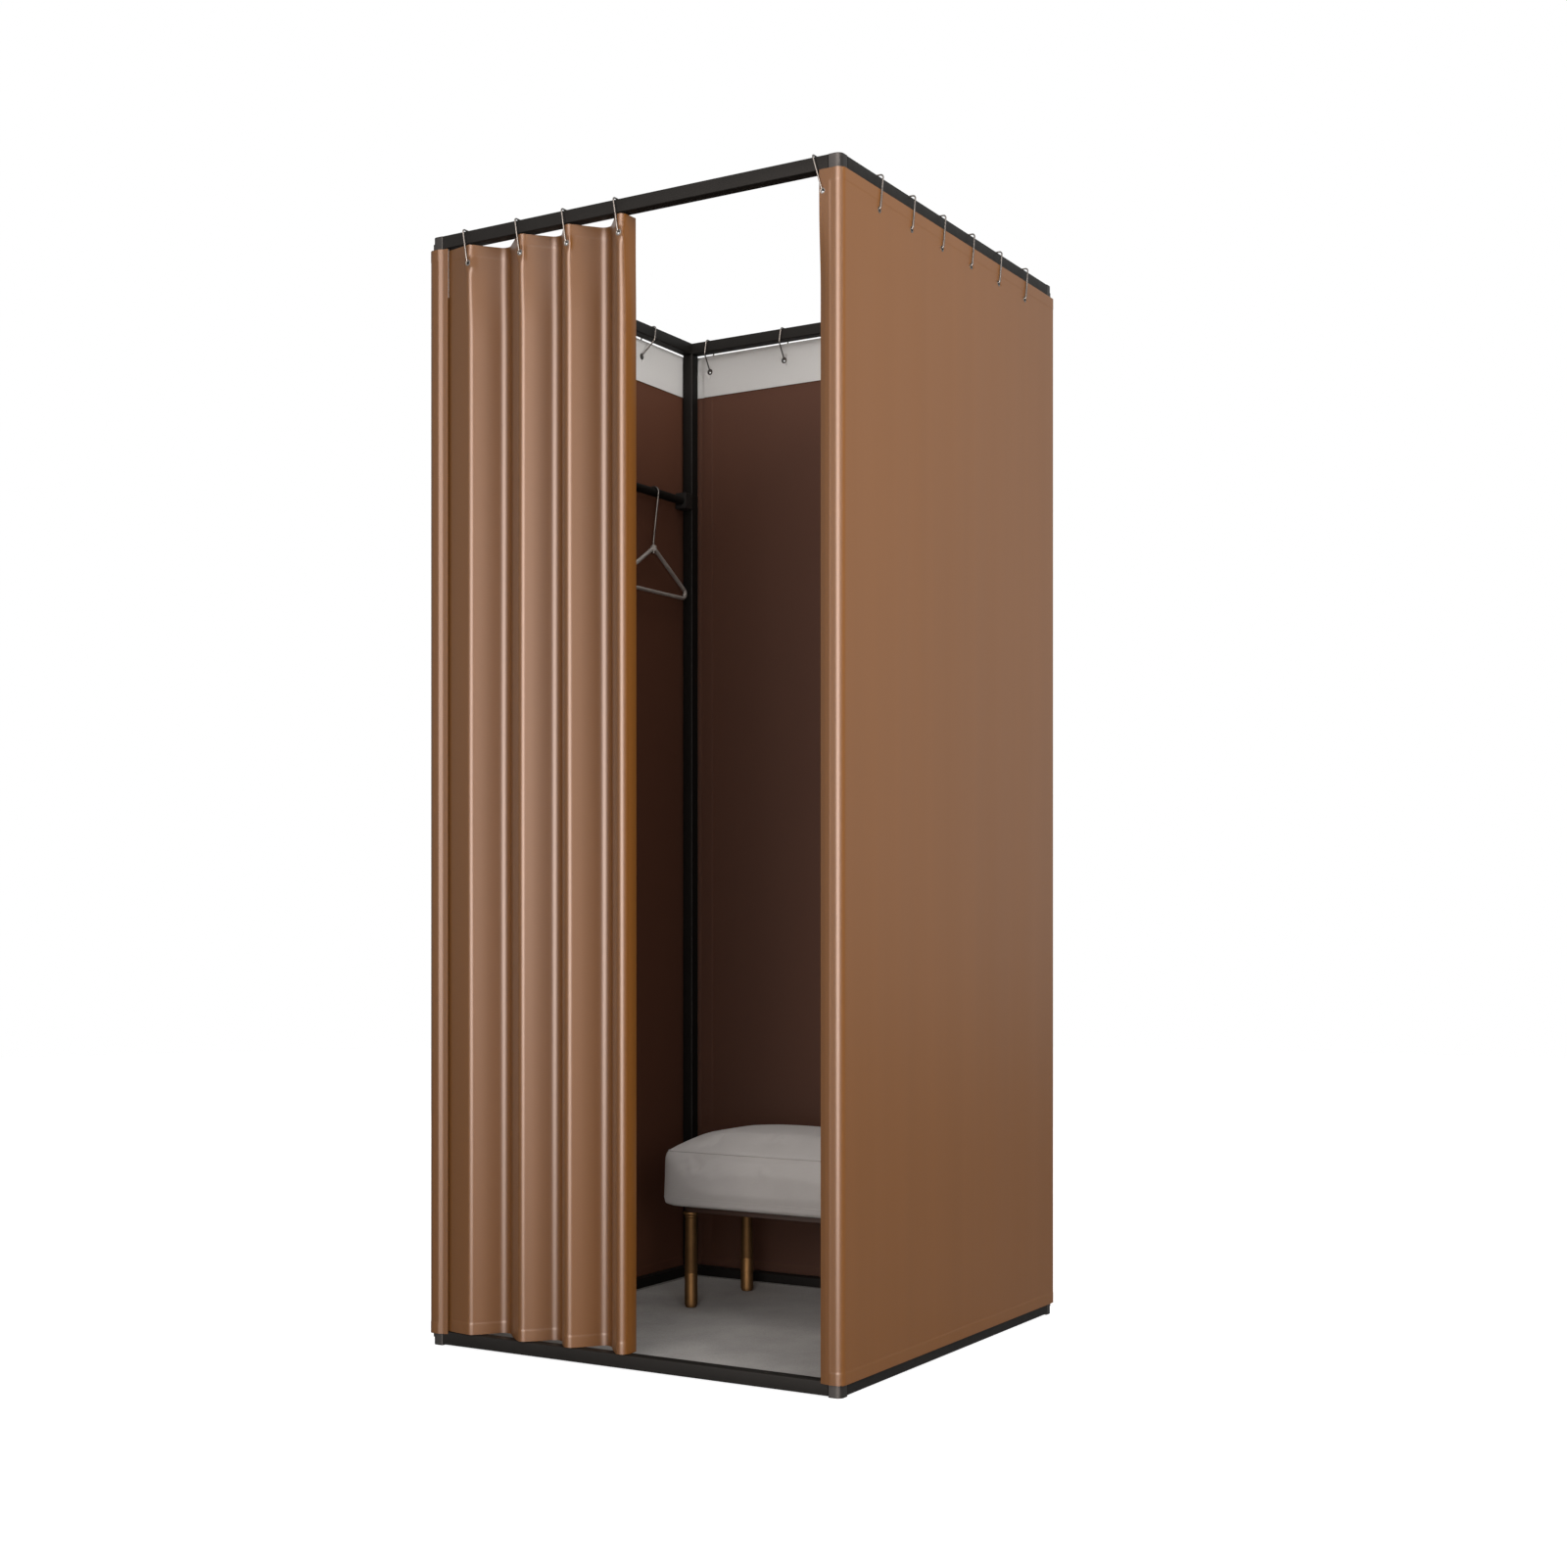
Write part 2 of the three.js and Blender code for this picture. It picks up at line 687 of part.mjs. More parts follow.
function addBench() {
  const middleY = planDepth / 2 - benchRearInset - benchDepth / 2;
  const baseWidth = benchWidth - 2 * benchBaseInset;
  const baseDepth = benchDepth - 2 * benchBaseInset;
  const outline = roundedRectangle(baseWidth, baseDepth, cushionRadius);
  const base = new THREE.ExtrudeGeometry(new THREE.Shape(outline), {
    depth: benchBaseThickness,
    bevelEnabled: false,
  });
  place("bench_base", base, darkWood, 0, middleY, benchUnderside);
  const cushionZ = benchUnderside + benchBaseThickness + seatGap + cushionHeight / 2;
  place("bench_cushion", cushionGeometry(), greyCloth, 0, middleY, cushionZ);

  const footZ = matThickness + seatGap;
  const length = benchUnderside - seatGap - footZ;
  const profile = [
    new THREE.Vector2(0, 0),
    new THREE.Vector2(legDiameter / 2, 0),
    new THREE.Vector2(legTopDiameter / 2, length - legCollarHeight),
    new THREE.Vector2(legCollarDiameter / 2, length - legCollarHeight),
    new THREE.Vector2(legCollarDiameter / 2, length),
    new THREE.Vector2(0, length),
  ];
  for (const [corner, [sx, sy]] of Object.entries(corners)) {
    const leg = new THREE.LatheGeometry(profile, roundSides).rotateX(Math.PI / 2);
    const x = sx * (benchWidth / 2 - legInset);
    const y = middleY + sy * (benchDepth / 2 - legInset);
    place(`bench_leg_${corner}`, leg, brass, x, y, footZ);
  }
}

addTubes();
addCorners();
addWallCurtains();
addDoorCurtain();
addRings();
addGarmentRail();
addHanger();
addMat();
addBench();

export default booth;
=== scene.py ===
import math

import bmesh
import bpy
import numpy as np
from mathutils import Matrix, Vector, noise
from mathutils.bvhtree import BVHTree


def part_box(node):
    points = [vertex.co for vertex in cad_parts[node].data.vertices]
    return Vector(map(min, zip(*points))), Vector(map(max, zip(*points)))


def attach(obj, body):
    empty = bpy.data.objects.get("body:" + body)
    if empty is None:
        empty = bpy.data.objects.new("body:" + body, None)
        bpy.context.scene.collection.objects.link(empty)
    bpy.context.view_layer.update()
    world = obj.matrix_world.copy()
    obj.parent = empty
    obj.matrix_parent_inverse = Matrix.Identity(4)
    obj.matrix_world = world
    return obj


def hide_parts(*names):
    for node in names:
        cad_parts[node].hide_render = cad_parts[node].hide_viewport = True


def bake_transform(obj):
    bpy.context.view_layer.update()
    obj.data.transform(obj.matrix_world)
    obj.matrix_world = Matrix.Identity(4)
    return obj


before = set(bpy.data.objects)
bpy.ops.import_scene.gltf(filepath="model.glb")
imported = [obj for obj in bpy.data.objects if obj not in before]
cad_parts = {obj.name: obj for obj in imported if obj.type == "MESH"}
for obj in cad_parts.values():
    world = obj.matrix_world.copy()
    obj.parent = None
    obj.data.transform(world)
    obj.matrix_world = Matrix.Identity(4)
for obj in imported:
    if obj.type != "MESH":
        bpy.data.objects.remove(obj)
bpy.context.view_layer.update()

# The photograph's camera
IMAGE_SIZE = (1600, 1601)
FOCAL_PIXELS = 2132
HORIZON_ROW = 934
SENSOR = 36
CAMERA_PLACE = (2.184, -3.564, 0.827)
CAMERA_TURN = math.radians(30.68)

# Sizes shared with the frame
TUBE = 0.025
RING_WIRE = 0.003
RING_LEG_U = 0.0205
RING_INNER_U = 0.0162
RING_TOP = 0.0143
RING_TOP_RADIUS = 0.006
RING_BOTTOM_RADIUS = 0.004
RING_BOTTOM = 0.0455
RING_KNEE = 0.0145
RING_LEAN = 0.16
EDGE_RING_LEAN = 0.3
EDGE_RING_REACH = 0.0165
EYELET_RADIUS = 0.0032
CLOTH_GAP = 0.004
SEAT_GAP = 0.0003
AXIS_RADIUS = 0.0001
SHARP_ANGLE = math.radians(40)

# Cloth
CLOTH_HALF = 0.0006
HEM_EXTRA = 0.0004
HEM_WIDTH = 0.022
TAPE_HALF = 0.0005
TAPE_OFFSET = 0.0019
WALL_WAVE = 0.0011
WALL_STREAK = 0.0005
CORNER_RADIUS = 0.013
WALL_DROP = 0.003
WRAP_BEND = 0.434
WRAP_CELL = 0.0016
BEND_EASE = 0.004
POST_PASS = 0.0105
WRAP_BENDS = {-1: (math.radians(21), math.radians(-12)), 1: (math.radians(9), math.radians(9))}
BEND_BELOW_RING = 0.02
BEND_FADE = 0.15
REAR_OVERLAP = 0.007
REAR_STEP = 0.0023
REAR_STEP_PLACES = (0.435, 0.42)
CELL_HEIGHT = 0.02
CELL_WIDTH = 0.014
FADE_TOP = 2.0
FADE_LENGTH = 0.06
LEAST_CELL = 0.0012
HEM_EDGE = 0.0004
HEM_FOLD = 0.002
HEM_FOLD_STEPS = (0.003, 0.0015, 0, -0.002)
HEAD_ZONE = (0.06, 0.03)
HEAD_CELL = 0.004
WAVE_FOOT = (0.03, 0.2)
WAVE_EDGE = (0.08, 0.1)
BROAD_WAVES = (2.6, 0.9)
STREAK_WAVES = (13, 0.35)
STREAK_SEED = 7
WALL_SEEDS = {"left": 0, "right": 11, "back": 22}
CURL_SAMPLES = 4001

# Door curtain
DOOR_START = (-0.421, -0.4424)
CREST_RADIUS = 0.0095
LOW_CREST_RADIUS = 0.012
VALLEY_RADIUS = 0.018
VALLEYS = ((0.0555, 0.051), (0.055, 0.0465), (0.0565, 0.052))
LEAD_WIDTH = 0.0115
LEAD_DEPTH = 0.037
CREST_SHIFT = 0.001
FLANK_BOW = 0.0012
SWAY = 0.0009
TOP_ZONE = 0.045
SHIFT_LENGTH = 0.12
FLAT_REACH = 0.006
FLAT_FADE = 0.007
SWAY_WAVES = (3.1, 1.1)
SWAY_SEEDS = (3, 12)
SWAY_OUT = 0.0004
DOOR_TAPE_INSET = 0.0018
ARC_STEPS = 12
RUN_STEPS = 12
SPLIT_STEPS = 2
DOOR_RINGS = [f"door_ring_{i}" for i in range(1, 5)]

# Corners of a square, turning left
CORNERS = ((1, -1), (1, 1), (-1, 1), (-1, -1))


# Colours are written as they show in sRGB.
def colour(red, green, blue):
    shares = [c / 255 for c in (red, green, blue)]
    return [((s + 0.055) / 1.055) ** 2.4 if s > 0.04 else s / 12.92 for s in shares] + [1]


# A wave texture of scale 1 repeats at this length.
WAVE_SCALE = 2 * math.pi / 20


# The shader nodes of a world or a material: `add` makes a node and gives its output socket.
class Graph:
    def __init__(self, owner):
        owner.use_nodes = True
        self.nodes = owner.node_tree.nodes
        self.links = owner.node_tree.links

    def add(self, kind, inputs=None, out=0, **settings):
        node = self.nodes.new("ShaderNode" + kind)
        for key, value in settings.items():
            setattr(node, key, value)
        for key, value in (inputs or {}).items():
            self.put(node.inputs[key], value)
        return node.outputs[out]

    def put(self, socket, value):
        if isinstance(value, bpy.types.NodeSocket):
            self.links.new(value, socket)
        else:
            socket.default_value = value

    def place(self, source="Object", stretch=(1, 1, 1)):
        at = self.add("TexCoord", out=source)
        return self.add("Mapping", {"Vector": at, "Scale": stretch})

    def noise(self, at, scale, detail=2):
        return self.add("TexNoise", {"Vector": at, "Scale": scale, "Detail": detail})

    def wave(self, at, period, direction="X", distortion=0):
        values = {"Vector": at, "Scale": WAVE_SCALE / period, "Distortion": distortion}
        return self.add("TexWave", values, 1, bands_direction=direction)

    def sum(self, a, b, operation="ADD"):
        return self.add("Math", {0: a, 1: b}, operation=operation)

    def times(self, a, b):
        return self.sum(a, b, "MULTIPLY")

    def spread(self, value, low, high):
        return self.add("MapRange", {"Value": value, "To Min": low, "To Max": high})

    def step(self, value, low, high):
        return self.add("MapRange", {"Value": value, "From Min": low, "From Max": high})

    def mix(self, share, a, b):
        node = self.nodes.new("ShaderNodeMix")
        node.data_type = "RGBA"
        for socket, value in zip((node.inputs[0], node.inputs[6], node.inputs[7]), (share, a, b)):
            self.put(socket, value)
        return node.outputs[2]


# A material under construction
class Finish(Graph):
    def __init__(self, name, **sockets):
        self.material = bpy.data.materials.new(name)
        super().__init__(self.material)
        self.shader = self.nodes["Principled BSDF"]
        for key, value in sockets.items():
            self.shader.inputs[key.replace("_", " ")].default_value = value

    def tint(self, share, dark, light):
        mixed = self.mix(share, colour(*dark), colour(*light))
        self.put(self.shader.inputs["Base Color"], mixed)

    def rough(self, value, low, high):
        self.put(self.shader.inputs["Roughness"], self.spread(value, low, high))

    def relief(self, height, distance, strength):
        values = {"Height": height, "Distance": distance, "Strength": strength}
        self.put(self.shader.inputs["Normal"], self.add("Bump", values))


# Periods of threads, depths of surface grain, and how far each pattern is stretched
SATIN_WARP = 0.0007
SATIN_WEFT = 0.0011
SATIN_GRAIN = 0.00001
REVERSE_GRAIN = 0.00002
TAPE_RIB = 0.0021
TAPE_THREAD = 0.0009
TAPE_GRAIN = 0.00006
PEEL_DEPTH = 0.00004
MOULD_GRAIN = 0.00008
BRUSH_DEPTH = 0.00002
WEAVE_THREAD = 0.0024
WEAVE_DEPTH = 0.00016
TUFT_DEPTH = 0.0007
BINDING_THREAD = 0.0016
BINDING_DEPTH = 0.0002
PORE_DEPTH = 0.0001
FLOOR_GRAIN = 0.0002
STREAK_STRETCH = (22, 0.5, 1)
CLOUD_STRETCH = (2.2, 1.1, 1)
SLUB_STRETCH = (1500, 160, 1)
BRUSH_STRETCH = (300, 300, 2500)
GRAIN_STRETCH = (6, 90, 90)
PORE_STRETCH = (40, 900, 900)


def satin_cloth():
    f = Finish("satin_cloth", Specular_IOR_Level=0.3)
    at = f.place("UV")
    streaks = f.noise(f.place("UV", STREAK_STRETCH), 1, 3)
    clouds = f.noise(f.place("UV", CLOUD_STRETCH), 1, 3)
    slubs = f.noise(f.place("UV", SLUB_STRETCH), 1, 2)
    share = f.sum(f.times(streaks, 0.45), f.times(clouds, 0.35))
    share = f.sum(share, f.times(slubs, 0.2))
    f.tint(share, (96, 58, 19), (114, 70, 27))
    f.rough(slubs, 0.39, 0.45)
    warp = f.wave(at, SATIN_WARP, "X", 0.4)
    weft = f.wave(at, SATIN_WEFT, "Y", 0.4)
    weave = f.sum(f.times(warp, 0.7), f.times(weft, 0.3))
    f.relief(f.sum(weave, slubs), SATIN_GRAIN, 0.5)
    return f.material


# The dull reverse of the satin. Its matte finish is real. Its darker brown is painted shade, standing
# in for the dim light inside the booth.
def satin_reverse_painted_shade():
    f = Finish("satin_reverse_painted_shade", Specular_IOR_Level=0.1)
    clouds = f.noise(f.place("UV", CLOUD_STRETCH), 1, 3)
    slubs = f.noise(f.place("UV", SLUB_STRETCH), 1, 2)
    share = f.sum(f.times(clouds, 0.6), f.times(slubs, 0.4))
    f.tint(share, (84, 52, 39), (102, 66, 49))
    f.rough(slubs, 0.6, 0.7)
    f.relief(slubs, REVERSE_GRAIN, 0.5)
    return f.material


def heading_tape():
    f = Finish("heading_tape", Roughness=0.85, Sheen_Weight=0.1)
    at = f.place("UV")
    ribs = f.wave(at, TAPE_RIB, "Y", 0.2)
    threads = f.wave(at, TAPE_THREAD, "X", 0.5)
    fibres = f.noise(at, 900, 3)
    f.tint(fibres, (202, 199, 195), (222, 219, 215))
    f.relief(f.sum(f.times(ribs, 0.7), threads), TAPE_GRAIN, 0.7)
    return f.material


def powder_coat():
    f = Finish("powder_coat", Specular_IOR_Level=0.1)
    at = f.place()
    peel = f.noise(at, 420, 2)
    dust = f.noise(at, 9, 4)
    f.tint(dust, (16, 15, 13), (24, 22, 20))
    f.rough(f.noise(at, 60, 3), 0.46, 0.58)
    f.relief(peel, PEEL_DEPTH, 0.5)
    return f.material


def moulded_plastic(name, dark, light, roughness):
    f = Finish(name, Specular_IOR_Level=0.3)
    at = f.place()
    grain = f.noise(at, 1400, 2)
    f.tint(f.noise(at, 30, 3), dark, light)
    f.rough(grain, roughness, roughness + 0.12)
    f.relief(grain, MOULD_GRAIN, 0.5)
    return f.material


def metal(name, dark, light, roughness):
    f = Finish(name, Metallic=1)
    brushed = f.noise(f.place("Object", BRUSH_STRETCH), 1, 2)
    f.tint(f.noise(f.place(), 45, 3), dark, light)
    f.rough(brushed, roughness, roughness + 0.1)
    f.relief(brushed, BRUSH_DEPTH, 0.3)
    return f.material


def upholstery_cloth():
    f = Finish("upholstery_cloth", Roughness=0.9, Sheen_Weight=0.15, Sheen_Roughness=0.5)
    at = f.place("UV")
    warp = f.wave(at, WEAVE_THREAD, "X", 1.2)
    weft = f.wave(at, WEAVE_THREAD, "Y", 1.2)
    weave = f.sum(warp, weft, "MAXIMUM")
    tone = f.sum(f.times(f.noise(at, 14, 3), 0.6), f.times(weave, 0.4))
    f.tint(tone, (171, 166, 162), (196, 191, 187))
    fibres = f.noise(at, 1300, 2)
    f.relief(f.sum(weave, f.times(fibres, 0.6)), WEAVE_DEPTH, 0.7)
    return f.material


def carpet_pile():
    f = Finish("carpet_pile", Roughness=0.95, Sheen_Weight=0.2, Sheen_Roughness=0.6)
    at = f.place()
    clouds = f.noise(at, 8, 4)
    tufts = f.noise(at, 260, 3)
    share = f.sum(f.times(clouds, 0.65), f.times(tufts, 0.35))
    f.tint(f.step(share, 0.3, 0.7), (111, 108, 104), (152, 148, 143))
    f.relief(tufts, TUFT_DEPTH, 0.8)
    return f.material


def carpet_binding():
    f = Finish("carpet_binding", Roughness=0.85)
    at = f.place()
    threads = f.wave(at, BINDING_THREAD, "DIAGONAL", 0.5)
    f.tint(f.noise(at, 300, 2), (96, 93, 90), (120, 117, 113))
    f.relief(threads, BINDING_DEPTH, 0.7)
    return f.material


def stained_wood():
    f = Finish("stained_wood", Specular_IOR_Level=0.2)
    grain = f.noise(f.place("Object", GRAIN_STRETCH), 1, 5)
    pores = f.noise(f.place("Object", PORE_STRETCH), 1, 2)
    share = f.sum(f.times(grain, 0.7), f.times(pores, 0.3))
    f.tint(f.step(share, 0.3, 0.7), (34, 20, 14), (66, 40, 28))
    f.rough(grain, 0.42, 0.6)
    f.relief(pores, PORE_DEPTH, 0.6)
    return f.material


SATIN = satin_cloth()
# The reverse's darker brown is painted shade for the dim inside of the booth
REVERSE_PAINTED_SHADE = satin_reverse_painted_shade()
TAPE = heading_tape()
PAINT = powder_coat()
BLOCK = moulded_plastic("black_plastic", (16, 15, 13), (24, 22, 20), 0.5)
PALE = moulded_plastic("pale_plastic", (146, 138, 131), (166, 158, 151), 0.38)
NICKEL = metal("nickel", (80, 78, 76), (108, 105, 102), 0.36)
DARK_NICKEL = metal("dark_nickel", (52, 49, 47), (74, 70, 67), 0.35)
BRASS = metal("aged_brass", (60, 45, 28), (86, 66, 42), 0.55)
GREY_WEAVE = upholstery_cloth()
PILE = carpet_pile()
BINDING = carpet_binding()
WOOD = stained_wood()


def ease(t):
    t = np.clip(t, 0, 1)
    return t * t * (3 - 2 * t)


# A path of straight runs and arcs. A stop is x, y and the signed radius of its turn. Runs are cut
# in `run_steps` parts and bowed to the left by `bow`. `first` is the heading of an open start.
def thread_path(stops, closed=False, arc_steps=10, run_steps=1, bow=0, first=None):
    count = len(stops)
    centre = [np.array(stop[:2], float) for stop in stops]
    turn = [stop[2] if len(stop) > 2 else 0 for stop in stops]

    def heading(i, j):
        apart = centre[j] - centre[i]
        lean = math.asin((turn[j] - turn[i]) / np.linalg.norm(apart))
        return math.atan2(apart[1], apart[0]) - lean

    arcs = []
    for i in range(count):
        before = heading(i - 1, i) if closed or i > 0 else first
        after = heading(i, (i + 1) % count) if closed or i < count - 1 else None
        start = after if before is None else before
        sweep = 0 if after is None else (after - start) % math.tau
        if turn[i] < 0:
            sweep -= math.tau
        if turn[i] == 0:
            sweep = 0
        steps = arc_steps if sweep else 0
        angles = [start + sweep * k / max(steps, 1) for k in range(steps + 1)]
        sides = [np.array([-math.sin(a), math.cos(a)]) for a in angles]
        arcs.append([centre[i] - side * turn[i] for side in sides])

    points = []
    for i, arc in enumerate(arcs):
        points += arc
        if run_steps > 1 and (closed or i < count - 1):
            a, b = arc[-1], arcs[(i + 1) % count][0]
            run = b - a
            left = np.array([-run[1], run[0]]) / np.linalg.norm(run)
            for k in range(1, run_steps):
                t = k / run_steps
                points.append(a + run * t + left * bow * math.sin(math.pi * t))
    return np.array(points)


# One piece's vertices, faces and texture places while it is put together
class Form:
    def __init__(self):
        self.points, self.faces, self.finishes, self.uvs = [], [], [], []

    def add(self, points, faces, finish=0, uvs=None):
        base = len(self.points)
        self.points += [tuple(p) for p in points]
        self.faces += [[base + i for i in face] for face in faces]
        self.finishes += [finish] * len(faces) if isinstance(finish, int) else list(finish)
        self.uvs += [(0, 0)] * len(points) if uvs is None else [tuple(uv) for uv in uvs]

    def mesh(self, name, materials, sharp=SHARP_ANGLE):
        mesh = bpy.data.meshes.new(name)
        mesh.from_pydata(self.points, [], self.faces)
        for material in materials:
            mesh.materials.append(material)
        mesh.polygons.foreach_set("material_index", self.finishes)
        mesh.polygons.foreach_set("use_smooth", [True] * len(self.faces))
        layer = mesh.uv_layers.new(name="UVMap")
        corner = np.zeros(len(mesh.loops), np.int32)
        mesh.loops.foreach_get("vertex_index", corner)
        layer.data.foreach_set("uv", np.array(self.uvs, np.float32)[corner].ravel())
        edit = bmesh.new()
        edit.from_mesh(mesh)
        for edge in edit.edges:
            edge.smooth = len(edge.link_faces) == 2 and edge.calc_face_angle(0) < sharp
        edit.to_mesh(mesh)
        edit.free()
        return mesh


def linked(name, data):
    made = bpy.data.objects.new(name, data)
    bpy.context.scene.collection.objects.link(made)
    return made


def add_object(name, mesh, body, replaces=()):
    made = linked(name, mesh)
    if body:
        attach(made, body)
    if replaces:
        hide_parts(*replaces)
    return made


# Faces of a tube whose rings have `sides` points each
def tube_faces(rings, sides, closed):
    faces = []
    for i in range(rings if closed else rings - 1):
        a, b = i * sides, ((i + 1) % rings) * sides
        faces += [[a + s, a + (s + 1) % sides, b + (s + 1) % sides, b + s] for s in range(sides)]
    if not closed:
        last = (rings - 1) * sides
        faces.append(list(range(sides))[::-1])
        faces.append([last + s for s in range(sides)])
    return faces


# A round bar along points in space. `radius` is one value or one for each point.
def bar(points, radius, sides=12, closed=False):
    points = [Vector(p) for p in points]
    count = len(points)
    radii = radius if hasattr(radius, "__len__") else [radius] * count
    rings = []
    across = None
    for i, point in enumerate(points):
        ahead = points[(i + 1) % count] if closed else points[min(i + 1, count - 1)]
        behind = points[i - 1] if closed else points[max(i - 1, 0)]
        along = (ahead - behind).normalized()
        if across is None:
            across = along.orthogonal()
        across = (across - along * across.dot(along)).normalized()
        other = along.cross(across)
        for s in range(sides):
            angle = math.tau * s / sides
            rings.append(point + (across * math.cos(angle) + other * math.sin(angle)) * radii[i])
    return rings, tube_faces(count, sides, closed)


# A turned shape: `profile` is radius and height, closed on itself when `ring` is true.
def lathe(profile, segments=40, ring=False):
    count = len(profile)
    points, faces = [], []
    for k in range(segments):
        angle = math.tau * k / segments
        points += [(r * math.cos(angle), r * math.sin(angle), z) for r, z in profile]
    for k in range(segments):
        a, b = k * count, ((k + 1) % segments) * count
        spans = count if ring else count - 1
        faces += [[a + i, b + i, b + (i + 1) % count, a + (i + 1) % count] for i in range(spans)]
    if not ring:
        faces.append([k * count for k in range(segments)][::-1])
        faces.append([k * count + count - 1 for k in range(segments)])
    return points, faces


def turned(points, matrix):
    return [matrix @ Vector(p) for p in points]


UP = Vector((0, 0, 1))

# The directions out of the booth of its four walls
WALLS = {
    "front": Vector((0, -1, 0)),
    "right": Vector((1, 0, 0)),
    "back": Vector((0, 1, 0)),
    "left": Vector((-1, 0, 0)),
}


# Takes x outwards, y upwards and z along a wall, at a place
def wall_frame(outward, place):
    basis = Matrix((outward, UP, outward.cross(UP))).transposed().to_4x4()
    return Matrix.Translation(place) @ basis


def node_middle(node):
    low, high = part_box(node)
    return (low + high) / 2


RAIL_LOW, RAIL_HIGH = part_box("top_rail_front")
RAIL_Z = (RAIL_LOW.z + RAIL_HIGH.z) / 2
RAIL_OUT = -(RAIL_LOW.y + RAIL_HIGH.y) / 2
CLOTH_U = TUBE / 2 + CLOTH_GAP + CLOTH_HALF + HEM_EXTRA
CLOTH_FRONT = -(RAIL_OUT + CLOTH_U)
EDGE_RING_X = node_middle("front_edge_ring").x + EDGE_RING_REACH
EYELET_Z = RAIL_Z - RING_BOTTOM - RING_BOTTOM_RADIUS + RING_WIRE / 2 + SEAT_GAP - EYELET_RADIUS


def rail_place(wall, along, z=RAIL_Z):
    outward = WALLS[wall]
    return Vector((outward.x * RAIL_OUT or along, outward.y * RAIL_OUT or along, z))


# The nodes of a wall's rings, with the place of each along the wall
def wall_places(wall):
    places = {}
    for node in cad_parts:
        if node.startswith(wall + "_ring_"):
            middle = node_middle(node)
            places[node] = middle.x if wall == "back" else middle.y
    return places


# Stands a turned shape's axis straight out of a wall, through an eyelet
def eyelet_frame(wall, along):
    tip = wall_frame(WALLS[wall], rail_place(wall, along, EYELET_Z))
    return tip @ Matrix.Rotation(math.pi / 2, 4, "Y")


# Rings: a round wire over the rail and through the eyelet, leaning a little along the rail
def ring_path():
    return thread_path(
        [
            (RING_LEG_U - RING_BOTTOM_RADIUS, -RING_BOTTOM, RING_BOTTOM_RADIUS),
            (RING_LEG_U - RING_TOP_RADIUS, RING_TOP - RING_TOP_RADIUS, RING_TOP_RADIUS),
            (RING_TOP_RADIUS - RING_INNER_U, RING_TOP - RING_TOP_RADIUS, RING_TOP_RADIUS),
            (RING_TOP_RADIUS - RING_INNER_U, -RING_KNEE, RING_TOP_RADIUS),
        ],
        closed=True,
        run_steps=3,
    )


def wire_ring(form, wall, along, lean):
    drop = RING_BOTTOM + RING_BOTTOM_RADIUS
    place = wall_frame(WALLS[wall], rail_place(wall, along))
    side = WALLS[wall].cross(UP)
    shift = lean * (1 if side.x + side.y > 0 else -1)
    path = [place @ Vector((u, y, (y + drop) * shift)) for u, y in ring_path()]
    form.add(*bar(path, RING_WIRE / 2, 12, closed=True))


GROMMET_BARREL = 0.0006
GROMMET_FLANGE = 0.0026
GROMMET_RIM = 0.00045
WASHER_FLANGE = 0.0036
FLANGE_EASE_SHARE = 0.6


# An eyelet: a pale flange outside, a barrel, and a darker washer inside
def grommet(form, wall, along, surface_out, surface_in):
    hole = EYELET_RADIUS
    rim = GROMMET_RIM
    outer = [
        (hole, surface_in - rim),
        (hole, surface_out + rim / 2),
        (hole + rim, surface_out + rim),
        (hole + GROMMET_FLANGE * FLANGE_EASE_SHARE, surface_out + rim),
        (hole + GROMMET_FLANGE, surface_out + rim * FLANGE_EASE_SHARE),
        (hole + GROMMET_FLANGE, surface_out),
        (hole + GROMMET_BARREL, surface_out),
        (hole + GROMMET_BARREL, surface_in - rim),
    ]
    washer = [
        (hole + GROMMET_BARREL, surface_in),
        (hole + WASHER_FLANGE, surface_in),
        (hole + WASHER_FLANGE, surface_in - rim),
        (hole + rim, surface_in - 2 * rim),
        (hole, surface_in - rim),
    ]
    stand = eyelet_frame(wall, along)
    for finish, profile in enumerate((outer, washer)):
        points, faces = lathe(profile, 32, ring=True)
        form.add(turned(points, stand), faces, finish)


def add_fixed_rings():
    edge = Form()
    wire_ring(edge, "front", EDGE_RING_X, -EDGE_RING_LEAN)
    mesh = edge.mesh("edge_ring", [NICKEL])
    add_object("front_edge_ring_wire", mesh, "root", ["front_edge_ring"])
    for wall in ("right", "left", "back"):
        for node, along in wall_places(wall).items():
            form = Form()
            wire_ring(form, wall, along, RING_LEAN)
            add_object(node + "_wire", form.mesh(node, [NICKEL]), "root", [node])


def add_door_rings():
    for node in DOOR_RINGS:
        form = Form()
        along = node_middle(node).x
        wire_ring(form, "front", along, -RING_LEAN)
        grommet(form, "front", along, CLOTH_U + CLOTH_HALF, CLOTH_U - CLOTH_HALF - 2 * TAPE_HALF)
        mesh = form.mesh(node, [NICKEL, DARK_NICKEL])
        add_object(node + "_wire", mesh, node, [node])


